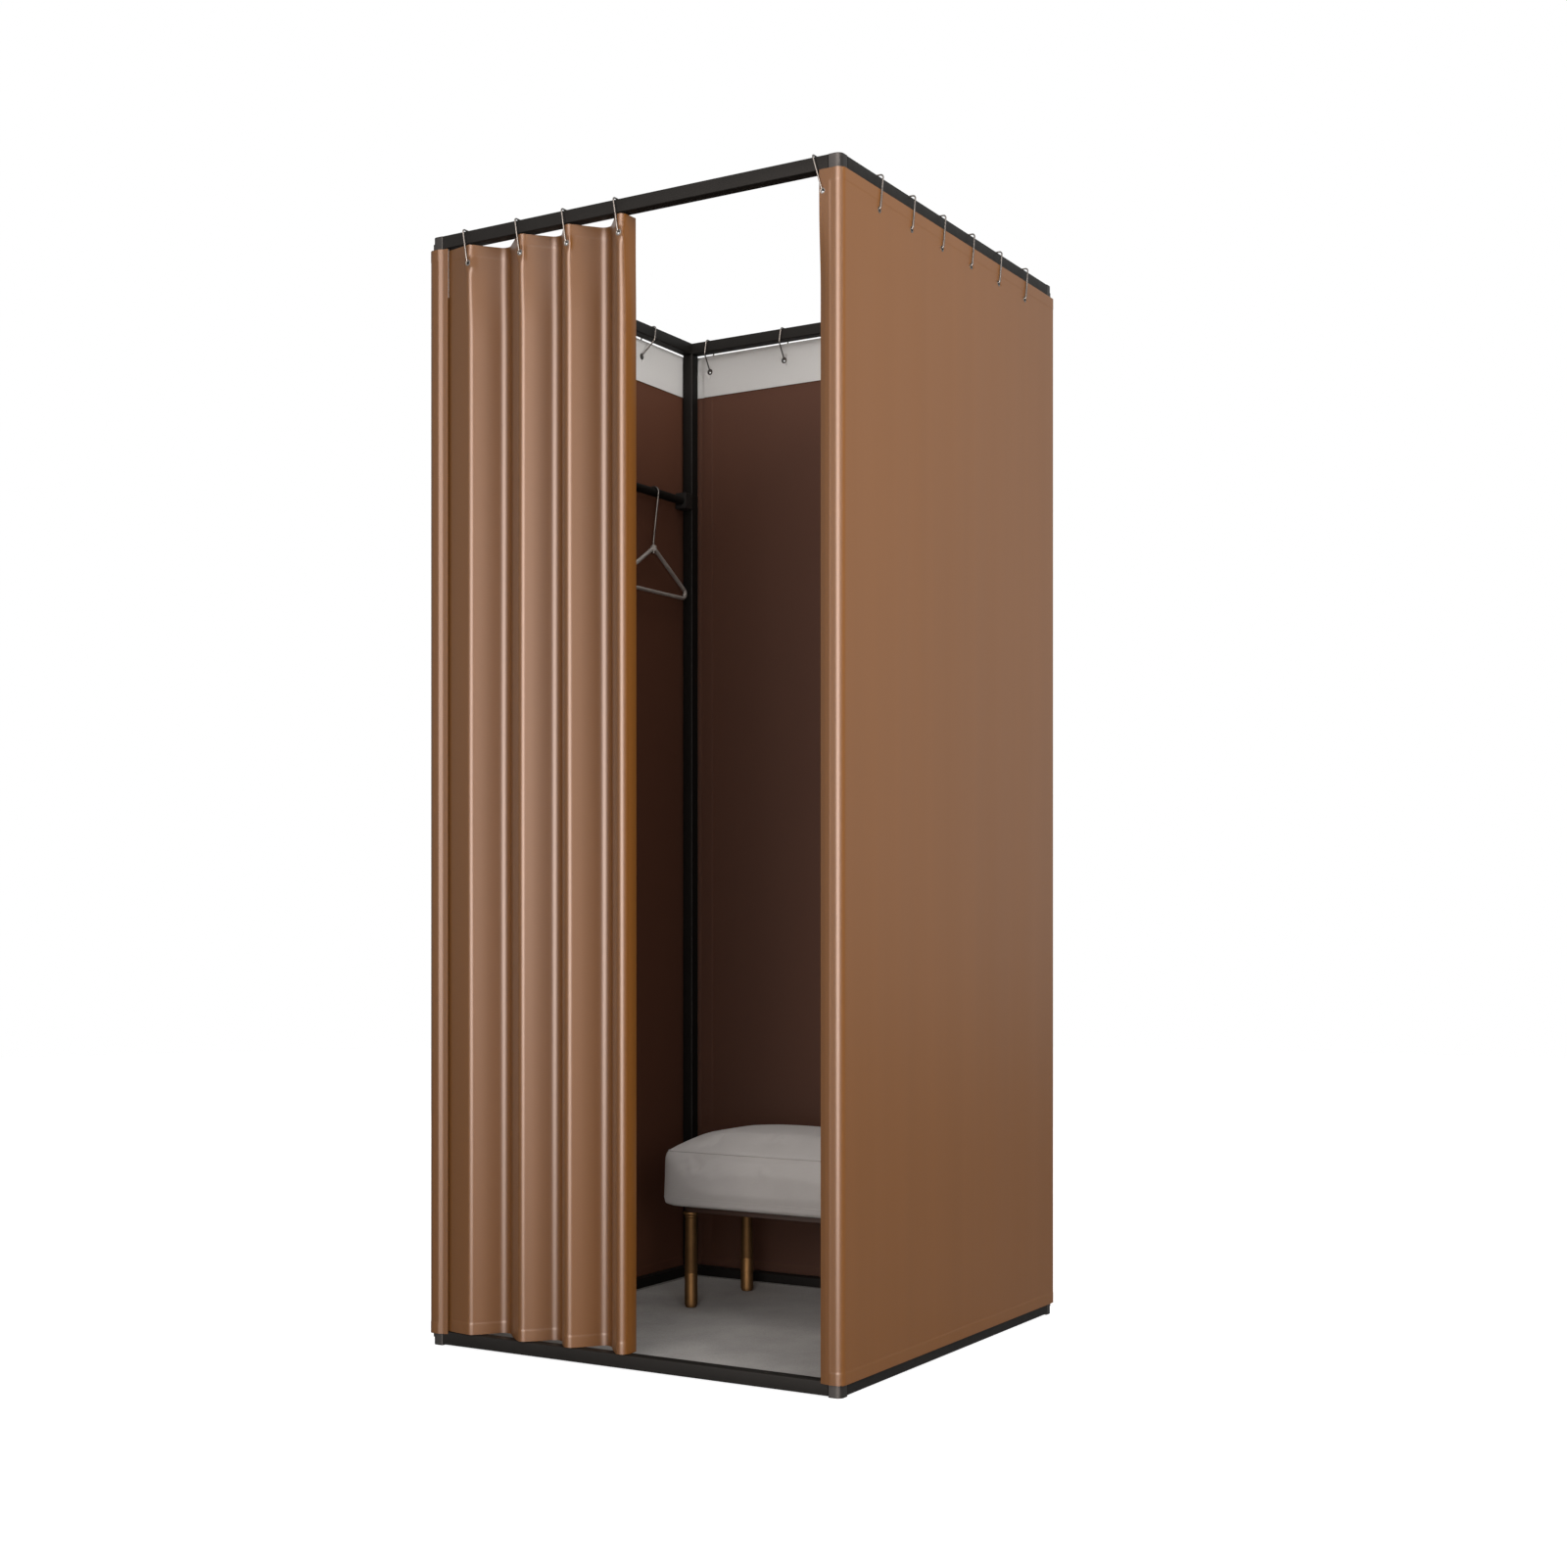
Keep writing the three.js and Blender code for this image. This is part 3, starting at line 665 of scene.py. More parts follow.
# A closed sheet of cloth. `grid` holds its middle surface as rows of points from the bottom up,
# `lengths` the place along the cloth of each column, and the halves its thickness on each side.
def cloth_form(grid, lengths, heights, out_half, in_half, flip=False, finish_in=lambda j, i: 0):
    rows, columns = grid.shape[:2]
    along = np.gradient(grid, axis=1)
    upward = np.gradient(grid, axis=0)
    normal = np.cross(along, upward)
    normal /= np.linalg.norm(normal, axis=2, keepdims=True)
    if flip:
        normal = -normal
    outer = (grid + normal * out_half[..., None]).reshape(-1, 3)
    inner = (grid - normal * in_half[..., None]).reshape(-1, 3)
    uv = np.stack(np.meshgrid(lengths, heights), axis=2).reshape(-1, 2)
    count = rows * columns
    faces, finishes = [], []
    for j in range(rows - 1):
        for i in range(columns - 1):
            a = j * columns + i
            quad = [a, a + 1, a + columns + 1, a + columns]
            if flip:
                quad.reverse()
            faces.append(quad)
            finishes.append(0)
            faces.append([count + k for k in reversed(quad)])
            finishes.append(finish_in(j, i))
    bottom = list(range(columns))
    top = [count - columns + i for i in reversed(range(columns))]
    left = [j * columns for j in reversed(range(1, rows - 1))]
    right = [j * columns + columns - 1 for j in range(1, rows - 1)]
    loop = bottom + right + top + left
    for a, b in zip(loop, loop[1:] + loop[:1]):
        quad = [a, a + count, b + count, b]
        faces.append(quad[::-1] if flip else quad)
        finishes.append(0)
    form = Form()
    form.add(np.concatenate([outer, inner]), faces, finishes, np.concatenate([uv, uv]))
    return form


def lengths_of(path):
    steps = np.linalg.norm(np.diff(path, axis=0), axis=1)
    return np.concatenate([[0], np.cumsum(steps)])


def spaced(start, end, cell):
    count = max(1, round((end - start) / cell))
    return list(np.linspace(start, end, count + 1))


# Values in order with those closer than `least` left out
def thinned(values, least=LEAST_CELL):
    kept = []
    for value in sorted(values):
        if not kept or value - kept[-1] > least:
            kept.append(value)
    return kept


HEM_STEPS = [HEM_EDGE] + [HEM_WIDTH - step for step in HEM_FOLD_STEPS]


def hem_heights(low, high):
    edges = [low + step for step in HEM_STEPS] + [high - step for step in HEM_STEPS]
    heads = spaced(high - HEAD_ZONE[0], high - HEAD_ZONE[1], HEAD_CELL)
    return thinned(spaced(low, high, CELL_HEIGHT) + edges + heads)


# Half the thickness at each point of a sheet, more in its hems
def hem_halves(lengths, heights):
    lengths, heights = np.array(lengths), np.array(heights)
    upright = np.minimum(heights - heights[0], heights[-1] - heights)
    across = np.minimum(lengths - lengths[0], lengths[-1] - lengths)
    reach = np.minimum(upright[:, None], across[None, :])
    return CLOTH_HALF + HEM_EXTRA * ease((HEM_WIDTH - reach) / HEM_FOLD)


# A side wall in plan, from its front wrap round two posts to its rear wrap, which laps over the
# back wall by `overlap`
def side_path(side, overlap):
    low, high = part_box("right_curtain")
    x, y = high.x - CLOTH_HALF - HEM_EXTRA, high.y - CLOTH_HALF - HEM_EXTRA
    r = CORNER_RADIUS
    step_start, step_end = REAR_STEP_PLACES
    return thread_path(
        [
            (side * low.x, -y),
            (side * (x - r), r - y, side * r),
            (side * (x - r), y - r, side * r),
            (side * step_start, y),
            (side * step_end, y + REAR_STEP),
            (side * (low.x - overlap), y + REAR_STEP),
        ]
    )


def back_path():
    low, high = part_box("back_curtain")
    y = high.y - CLOTH_HALF - HEM_EXTRA
    return np.array([(high.x, y), (low.x, y)])


# The front wraps of the side walls bend in behind the post. `reach` is the length past the bend.
def curled_wrap(side, reach, y):
    steps = np.linspace(0, WRAP_BEND, CURL_SAMPLES)
    first, second = WRAP_BENDS[side]
    turn = first * ease(steps / BEND_EASE) + second * ease((steps - POST_PASS) / BEND_EASE)
    along = np.cumsum(np.cos(turn)) * steps[1]
    inward = np.cumsum(np.sin(turn)) * steps[1]
    x = side * (WRAP_BEND - np.interp(reach, steps, along))
    return np.stack([x, y + np.interp(reach, steps, inward)], axis=1)


def along_path(path, lengths):
    own = lengths_of(path)
    return np.stack([np.interp(lengths, own, path[:, k]) for k in range(2)], axis=1)


# How far a wall's cloth stands out of its plane: broad waves and faint upright streaks
def wall_wave(seed, length, z, total):
    foot, rise = WAVE_FOOT
    edge, reach = WAVE_EDGE
    fade = ease((FADE_TOP - z) / FADE_LENGTH) * ease((z - foot) / rise)
    fade *= ease((length - edge) / reach) * ease((total - edge - length) / reach)
    broad = noise.noise(Vector((length * BROAD_WAVES[0], z * BROAD_WAVES[1], seed)))
    at = Vector((length * STREAK_WAVES[0], z * STREAK_WAVES[1], seed + STREAK_SEED))
    streak = noise.noise(at)
    return fade * (WALL_WAVE * broad + WALL_STREAK * streak)


def evaluated_mesh(made):
    bpy.context.view_layer.update()
    graph = bpy.context.evaluated_depsgraph_get()
    mesh = bpy.data.meshes.new_from_object(made.evaluated_get(graph))
    made.modifiers.clear()
    made.data = mesh
    return mesh


def cut_holes(made, wall, places):
    form = Form()
    for along in places:
        radius = EYELET_RADIUS + GROMMET_BARREL / 2
        points, faces = lathe([(radius, TUBE / 2), (radius, TUBE)], 24)
        form.add(turned(points, eyelet_frame(wall, along)), faces)
    cutter = linked("cutter", form.mesh("cutter", []))
    cut = made.modifiers.new("holes", "BOOLEAN")
    cut.operation, cut.object, cut.solver = "DIFFERENCE", cutter, "EXACT"
    evaluated_mesh(made)
    bpy.data.objects.remove(cutter)


# A wall's cloth or its tape: a sheet standing on its path in plan
def wall_sheet(wall, offset, low, high, seed, tape=False):
    side = {"left": -1, "right": 1}.get(wall)
    path = side_path(side, 0 if tape else REAR_OVERLAP) if side else back_path()
    own = lengths_of(path)
    total = own[-1]
    edges = HEM_STEPS + [total - step for step in HEM_STEPS]
    wrap = WRAP_BEND - abs(path[0][0]) if side else 0
    lengths = thinned(list(own) + spaced(0, total, CELL_WIDTH) + edges + spaced(0, wrap, WRAP_CELL))
    heights = thinned(spaced(low, high, CELL_HEIGHT)) if tape else hem_heights(low, high)
    flat = along_path(path, lengths)
    curled = flat.copy()
    if side:
        bent = np.array(lengths) < wrap
        curled[bent] = curled_wrap(side, wrap - np.array(lengths)[bent], path[0][1])
    flip = side == -1
    grid = np.zeros((len(heights), len(lengths), 3))
    for j, z in enumerate(heights):
        share = ease((EYELET_Z - BEND_BELOW_RING - z) / BEND_FADE) if wall == "right" else 1
        points = flat + (curled - flat) * share
        tangent = np.gradient(points, axis=0)
        outward = np.stack([tangent[:, 1], -tangent[:, 0]], axis=1)
        outward /= np.linalg.norm(outward, axis=1, keepdims=True) * (-1 if flip else 1)
        for i, length in enumerate(lengths):
            wave = -offset if tape else wall_wave(seed, length, z, total)
            grid[j, i] = (*(points[i] + outward[i] * wave), z)
    half = np.full(grid.shape[:2], TAPE_HALF) if tape else hem_halves(lengths, heights)
    # A curtain's inner faces take its second material, the satin reverse, whose darker brown is
    # painted shade for the booth's inside
    form = cloth_form(grid, lengths, heights, half, half, flip, lambda j, i: 0 if tape else 1)
    return form, (total, high - low)


def add_walls():
    for wall, seed in WALL_SEEDS.items():
        places = wall_places(wall)
        for kind, offset, materials, slot in (
            ("heading", TAPE_OFFSET, [TAPE], "tape"),
            ("curtain", 0, [SATIN, REVERSE_PAINTED_SHADE], "curtain"),
        ):
            node = f"{wall}_{kind}"
            low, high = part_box(node)
            bottom = low.z if kind == "heading" else low.z - WALL_DROP
            form, size = wall_sheet(wall, offset, bottom, high.z, seed, kind == "heading")
            mesh = form.mesh(node, materials)
            made = add_object(node + "_cloth", mesh, "root", [node])
            cut_holes(made, wall, places.values())
            if wall == "right":
                cut_holes(made, "front", [EDGE_RING_X])
        eyelets = Form()
        inside = CLOTH_U - TAPE_OFFSET - TAPE_HALF
        for along in places.values():
            grommet(eyelets, wall, along, CLOTH_U + CLOTH_HALF, inside)
        if wall == "right":
            grommet(eyelets, "front", EDGE_RING_X, CLOTH_U + CLOTH_HALF, inside)
        mesh = eyelets.mesh(wall + "_eyelets", [NICKEL, DARK_NICKEL])
        add_object(wall + "_eyelets", mesh, "root")


# The door curtain in plan, with every stop of its pleats
def door_path(crests, radius, bow):
    y = CLOTH_FRONT
    stops = [DOOR_START]
    for i, x in enumerate(crests):
        stops.append((x, y + radius, radius))
        if i == len(crests) - 1:
            break
        across, deep = VALLEYS[i]
        stops.append((x + across, y + deep - VALLEY_RADIUS, -VALLEY_RADIUS))
    stops.append((crests[-1] + LEAD_WIDTH, y + LEAD_DEPTH))
    return thread_path(stops, arc_steps=ARC_STEPS, run_steps=RUN_STEPS, bow=bow)


# Presses the cloth flat round an eyelet, where its metal rim holds it
def flatten_crest(points, lengths, apex, x, z):
    offset = lengths - lengths[apex]
    near = ease((FLAT_REACH + FLAT_FADE - np.abs(offset)) / FLAT_FADE)
    near = near * ease((FLAT_REACH + 2 * FLAT_FADE - abs(z - EYELET_Z)) / (2 * FLAT_FADE))
    flat = np.stack([x + offset, np.full(len(offset), CLOTH_FRONT)], axis=1)
    return points + (flat - points) * near[:, None]


def add_door_curtain():
    rings = [node_middle(ring).x for ring in DOOR_RINGS]
    low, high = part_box("front_curtain")
    top_path = door_path(rings, CREST_RADIUS, 0)
    low_path = door_path([x + CREST_SHIFT for x in rings], LOW_CREST_RADIUS, -FLANK_BOW)
    lengths = lengths_of(low_path)
    heights = hem_heights(low.z, high.z)
    span = ARC_STEPS + RUN_STEPS
    apexes = [RUN_STEPS + 2 * span * i + ARC_STEPS // 2 for i in range(len(rings))]
    grid = np.zeros((len(heights), len(lengths), 3))
    for j, z in enumerate(heights):
        share = ease((EYELET_Z - TOP_ZONE / 2 - z) / SHIFT_LENGTH)
        points = top_path + (low_path - top_path) * share
        for apex, x in zip(apexes, rings):
            points = flatten_crest(points, lengths, apex, x, z)
        sway = share * SWAY
        for i, length in enumerate(lengths):
            at = (length * SWAY_WAVES[0], z * SWAY_WAVES[1])
            dx, dy = [sway * noise.noise(Vector((*at, seed))) for seed in SWAY_SEEDS]
            grid[j, i] = (points[i][0] + dx, points[i][1] + max(dy, -SWAY_OUT), z)
    halves = hem_halves(lengths, heights)
    tape_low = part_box("right_heading")[0]
    tape_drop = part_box("right_curtain")[1].z - high.z
    levels = np.array(heights)
    band = (levels > tape_low.z - tape_drop) & (levels < high.z - DOOR_TAPE_INSET)
    inner = halves + band[:, None] * 2 * TAPE_HALF

    splits = [0] + [apex - ARC_STEPS // 2 - SPLIT_STEPS for apex in apexes[:-1]] + [len(lengths) - 1]
    for k, ring in enumerate(DOOR_RINGS):
        a, b = splits[k], splits[k + 1]
        part = slice(a, b + 1)
        part_lengths = lengths[part]
        form = cloth_form(
            grid[:, part],
            part_lengths,
            heights,
            halves[:, part],
            inner[:, part],
            finish_in=lambda j, i: 1 if band[j] and band[j + 1] else 0,
        )
        name = f"door_curtain_panel_{k + 1}"
        made = add_object(name, form.mesh(name, [SATIN, TAPE]), None, ["front_curtain"])
        holes = [x for x, apex in zip(rings, apexes) if a <= apex <= b]
        if holes:
            cut_holes(made, "front", holes)
        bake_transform(made)


SMOOTH_ANGLE = math.radians(34)
WELD = 0.00001
BLOCK_BEVEL = 0.0009
BOARD_BEVEL = 0.0015


# CAD nodes keep their shape: their edges are eased and their round faces shaded smoothly.
def smooth_group():
    group = bpy.data.node_groups.new("smooth_by_angle", "GeometryNodeTree")
    for way in ("INPUT", "OUTPUT"):
        group.interface.new_socket("Geometry", in_out=way, socket_type="NodeSocketGeometry")
    nodes = group.nodes
    start = nodes.new("NodeGroupInput")
    bare = nodes.new("GeometryNodeRemoveAttribute")
    bare.inputs["Name"].default_value = "custom_normal"
    faces = nodes.new("GeometryNodeSetShadeSmooth")
    edges = nodes.new("GeometryNodeSetShadeSmooth")
    edges.domain = "EDGE"
    angle = nodes.new("GeometryNodeInputMeshEdgeAngle")
    wide = nodes.new("FunctionNodeCompare")
    wide.inputs[1].default_value = SMOOTH_ANGLE
    edges.inputs["Shade Smooth"].default_value = False
    end = nodes.new("NodeGroupOutput")
    for source, target, socket in (
        (start, bare, "Geometry"),
        (bare, faces, "Geometry"),
        (faces, edges, "Geometry"),
        (angle, wide, 0),
        (wide, edges, "Selection"),
        (edges, end, 0),
    ):
        group.links.new(source.outputs[0], target.inputs[socket])
    return group


def dress_nodes():
    group = smooth_group()
    dressing = {
        "top_rail": (PAINT, 0),
        "base_rail": (PAINT, 0),
        "post": (PAINT, 0),
        "garment_rail": (PAINT, 0),
        "top_corner": (BLOCK, BLOCK_BEVEL),
        "base_corner": (BLOCK, BLOCK_BEVEL),
        "rail_socket": (BLOCK, BLOCK_BEVEL),
        "bench_base": (WOOD, BOARD_BEVEL),
    }
    for name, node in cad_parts.items():
        for start, (material, bevel) in dressing.items():
            if not name.startswith(start):
                continue
            node.data.materials.clear()
            node.data.materials.append(material)
            weld = node.modifiers.new("weld", "WELD")
            weld.merge_threshold = WELD
            if bevel:
                eased = node.modifiers.new("bevel", "BEVEL")
                eased.width, eased.segments, eased.limit_method = bevel, 3, "ANGLE"
                eased.angle_limit = SMOOTH_ANGLE
            smooth = node.modifiers.new("smooth", "NODES")
            smooth.node_group = group
            if bevel:
                even = node.modifiers.new("even", "WEIGHTED_NORMAL")
                even.keep_sharp = True


# Hanger
HOOK_WIRE = 0.005
HOOK_RADIUS = 0.013
HOOK_TIP = math.radians(15)
HOOK_DROP = 0.105
NECK_RADIUS = 0.010
NECK = 0.030
HEAD_DIAMETER = 0.009
HEAD_HEIGHT = 0.0025
HANGER_TUBE = 0.009
HANGER_WIDTH = 0.262
HANGER_HEIGHT = 0.104
APEX_RADIUS = 0.012
TIP_RADIUS = 0.011
BOSS_DIAMETER = 0.015
BOSS_HEIGHT = 0.015
BOSS_CHAMFER = 0.0016
BOSS_FOOT_SHARE = 0.8
BOSS_SHARES = ((1, 0.5), (0.85, 0.62), (0.8, 0.92), (0.7, 1))
HOOK_TIP_SHARES = (0.55, 0.85, 0.97)
CROSSBAR_SHARE = 0.9


def add_hanger():
    middle = node_middle("hanger_hook")
    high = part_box("hanger_hook")[1]
    top = Vector((-RAIL_OUT, middle.y, high.z - HOOK_WIRE / 2))
    bend = -HOOK_RADIUS - HOOK_DROP
    end = bend - NECK
    path = thread_path(
        [
            (0, -HOOK_RADIUS, -HOOK_RADIUS),
            (NECK_RADIUS, bend, NECK_RADIUS),
            (0, end + HEAD_HEIGHT / 2),
        ],
        arc_steps=18,
        run_steps=4,
        first=math.pi / 2 - HOOK_TIP,
    )
    stand = wall_frame(WALLS["right"], top)
    hook = Form()
    wire = [stand @ Vector((u, y, 0)) for u, y in path]
    tip = [HOOK_WIRE / 2 * share for share in HOOK_TIP_SHARES]
    radii = tip + [HOOK_WIRE / 2] * (len(wire) - len(tip))
    hook.add(*bar(wire, radii, 16))
    reach = HEAD_DIAMETER / 2
    head = [(AXIS_RADIUS, 0), (reach, 0), (reach, HEAD_HEIGHT), (AXIS_RADIUS, HEAD_HEIGHT)]
    points, faces = lathe(head, 24)
    hook.add([Vector(p) + top + Vector((0, 0, end)) for p in points], faces)
    mesh = hook.mesh("hook", [NICKEL])
    add_object("hanger_hook_wire", mesh, "hanger_hook", ["hanger_hook"])

    boss_bottom = end + HEAD_HEIGHT + SEAT_GAP
    apex = boss_bottom + BOSS_HEIGHT / 2
    bottom = apex - HANGER_HEIGHT + HANGER_TUBE
    tip_x = HANGER_WIDTH / 2 - HANGER_TUBE / 2 - TIP_RADIUS
    loop = thread_path(
        [
            (-tip_x, bottom + TIP_RADIUS, TIP_RADIUS),
            (tip_x, bottom + TIP_RADIUS, TIP_RADIUS),
            (0, apex - APEX_RADIUS, APEX_RADIUS),
        ],
        closed=True,
        arc_steps=14,
        run_steps=14,
    )
    body = Form()
    along = wall_frame(WALLS["back"], top)
    centre = [along @ Vector((x, y, 0)) for x, y in loop]
    radii = [HANGER_TUBE / 2 * (CROSSBAR_SHARE if y < bottom + TIP_RADIUS / 2 else 1) for x, y in loop]
    body.add(*bar(centre, radii, 16, closed=True))
    half, tall = BOSS_DIAMETER / 2, BOSS_HEIGHT
    bore = HOOK_WIRE / 2 + SEAT_GAP
    boss = [(bore, 0), (half * BOSS_FOOT_SHARE, 0), (half, BOSS_CHAMFER)]
    boss += [(half * across, tall * up) for across, up in BOSS_SHARES]
    boss.append((bore, tall))
    points, faces = lathe(boss, 32, ring=True)
    body.add([Vector(p) + top + Vector((0, 0, boss_bottom)) for p in points], faces)
    mesh = body.mesh("hanger", [PALE])
    add_object("hanger_body_moulding", mesh, "hanger", ["hanger_body"])


# Bench legs. Each step is how far it stands out from its part's radius, and its height above the
# foot or its drop below the top.
LEG_SHARP = math.radians(28)
LEG_FOOT_RADIUS = 0.0135
LEG_NECK_RADIUS = 0.012
LEG_FOOT_STEPS = (
    (-0.003, 0), (-0.0015, 0.0012), (-0.0012, 0.004), (0, 0.0055),
    (0, 0.07), (-0.0006, 0.0712), (-0.0006, 0.0722), (-0.0001, 0.0734),
)
LEG_NECK_STEPS = ((0, 0.0135), (0.0004, 0.012), (0.0016, 0.0105), (0.0016, 0.0085), (0.0004, 0.007))
LEG_COLLAR_STEPS = ((-0.0012, 0.006), (0, 0.005), (0, 0.001), (-0.0008, 0))


# Turned metal with a collar, a waist line and a foot pad
def add_legs():
    for corner in ("front_left", "front_right", "rear_left", "rear_right"):
        node = "bench_leg_" + corner
        low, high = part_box(node)
        middle = (low + high) / 2
        tall = high.z - low.z
        wide = (high.x - low.x) / 2
        profile = [(AXIS_RADIUS, 0)]
        profile += [(LEG_FOOT_RADIUS + out, z) for out, z in LEG_FOOT_STEPS]
        profile += [(LEG_NECK_RADIUS + out, tall - drop) for out, drop in LEG_NECK_STEPS]
        profile += [(wide + out, tall - drop) for out, drop in LEG_COLLAR_STEPS]
        profile.append((AXIS_RADIUS, tall))
        points, faces = lathe(profile, 48)
        form = Form()
        form.add([Vector(p) + Vector((middle.x, middle.y, low.z)) for p in points], faces)
        mesh = form.mesh(node, [BRASS], LEG_SHARP)
        add_object(node + "_turned", mesh, "root", [node])


# Texture places by the main direction that each face looks in
def box_uv(mesh):
    layer = mesh.uv_layers.get("UVMap") or mesh.uv_layers.new(name="UVMap")
    for face in mesh.polygons:
        axis = max(range(3), key=lambda k: abs(face.normal[k]))
        u, v = [k for k in range(3) if k != axis]
        for corner in face.loop_indices:
            co = mesh.vertices[mesh.loops[corner].vertex_index].co
            layer.data[corner].uv = (co[u], co[v])


CUSHION_VOXEL = 0.006
CUSHION_FILL = 0.008
CUSHION_CROWN = 0.013
CUSHION_CAP = 0.008
CUSHION_FRAMES = 20
CUSHION_EDGE = 0.016
PIPING_RADIUS = 0.0013
HEM_SEAM = 0.02
TOP_SEAM = 0.031
SEAM_LIFT = 0.01
SEAM_REACH_SHARE = 1.2
SEAM_STAND = 0.0004
PIN_HEIGHT = 0.03
TINY = 1e-9
CUSHION_CLOTH = {
    "quality": 5,
    "mass": 0.3,
    "tension_stiffness": 12,
    "compression_stiffness": 12,
    "bending_stiffness": 4,
    "use_pressure": True,
    "uniform_pressure_force": 3,
    "vertex_group_mass": "pins",
}


def swell(made, low):
    before = np.array([v.co for v in made.data.vertices])
    pins = made.vertex_groups.new(name="pins")
    for v in made.data.vertices:
        weight = float(1 - ease((v.co.z - low.z) / PIN_HEIGHT))
        if weight > 0:
            pins.add([v.index], weight, "REPLACE")
    cloth = made.modifiers.new("cloth", "CLOTH")
    for key, value in CUSHION_CLOTH.items():
        setattr(cloth.settings, key, value)
    cloth.settings.effector_weights.gravity = 0
    cloth.collision_settings.use_collision = False
    scene = bpy.context.scene
    cloth.point_cache.frame_start, cloth.point_cache.frame_end = 1, CUSHION_FRAMES
    for number in range(1, CUSHION_FRAMES + 1):
        scene.frame_set(number)
    mesh = evaluated_mesh(made)
    scene.frame_set(1)
    after = np.array([v.co for v in mesh.vertices])
    moved = after - before
    size = np.linalg.norm(moved, axis=1, keepdims=True)
    moved *= np.minimum(1, CUSHION_CAP / np.maximum(size, TINY))
    mesh.vertices.foreach_set("co", (before + moved).ravel())
    mesh.update()


def add_cushion():
    low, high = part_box("bench_cushion")
    middle = (low + high) / 2
    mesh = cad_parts["bench_cushion"].data.copy()
    made = add_object("bench_cushion_cover", mesh, None, ["bench_cushion"])
    mesh.materials.clear()
    mesh.materials.append(GREY_WEAVE)
    weld = made.modifiers.new("weld", "WELD")
    weld.merge_threshold = WELD
    remesh = made.modifiers.new("remesh", "REMESH")
    remesh.mode, remesh.voxel_size = "VOXEL", CUSHION_VOXEL
    mesh = evaluated_mesh(made)
    half = (high - low) / 2
    for v in mesh.vertices:
        across, deep = (v.co.x - middle.x) / half.x, (v.co.y - middle.y) / half.y
        rise = ease((v.co.z - low.z) / (high.z - low.z))
        crown = (1 - across ** 4) * (1 - deep ** 4) * rise
        v.co += Vector((across, deep, 0)) * CUSHION_FILL + Vector((0, 0, CUSHION_CROWN * crown))
    swell(made, low)
    subdivide = made.modifiers.new("subdivide", "SUBSURF")
    subdivide.levels = subdivide.render_levels = 1
    mesh = evaluated_mesh(made)
    mesh.polygons.foreach_set("use_smooth", [True] * len(mesh.polygons))
    box_uv(mesh)
    made.data.materials.clear()
    made.data.materials.append(GREY_WEAVE)
    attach(made, "root")

    faces = [list(face.vertices) for face in mesh.polygons]
    tree = BVHTree.FromPolygons([v.co for v in mesh.vertices], faces)
    inset = CUSHION_EDGE
    wide, deep = (high.x - low.x) / 2 - inset, (high.y - low.y) / 2 - inset
    stops = [(s * wide, t * deep, inset) for s, t in CORNERS]
    ring = thread_path(stops, closed=True, arc_steps=8, run_steps=24)
    seams = Form()
    for z, lift, radius in (
        (high.z - TOP_SEAM, SEAM_LIFT, PIPING_RADIUS),
        (low.z + HEM_SEAM, 0, PIPING_RADIUS / 2),
    ):
        loop = []
        for x, y in ring:
            far = (middle.x + x * SEAM_REACH_SHARE, middle.y + y * SEAM_REACH_SHARE)
            start = Vector((*far, z + lift))
            inward = Vector((middle.x, middle.y, z - lift)) - start
            hit, normal = tree.ray_cast(start, inward.normalized())[:2]
            loop.append(hit + normal * SEAM_STAND if hit else start)
        seams.add(*bar(loop, radius, 10, closed=True))
    add_object("bench_cushion_piping", seams.mesh("piping", [GREY_WEAVE]), "root")


MAT_CELL = 0.005
MAT_BORDER = 0.012
PILE_ROUGH = 0.0013
PILE_SHARP = math.radians(70)
TUFT_WAVES = 230
SWIRL_WAVES = 18
PILE_SEEDS = (1, 5)
TUFT_SHARE = 0.75
SWIRL_SHARE = 0.25
BINDING_CORNER = 0.0015
BINDING_FOOT_STEPS = ((-1, 0, 0.0002), (1, 0.001, 0.0002), (1, 0, 0.0012))
BINDING_TOP_STEPS = ((1, 0, 0.003), (1, 0.0012, 0.0008), (0, 0, 0.0001), (-1, 0, 0.0008))


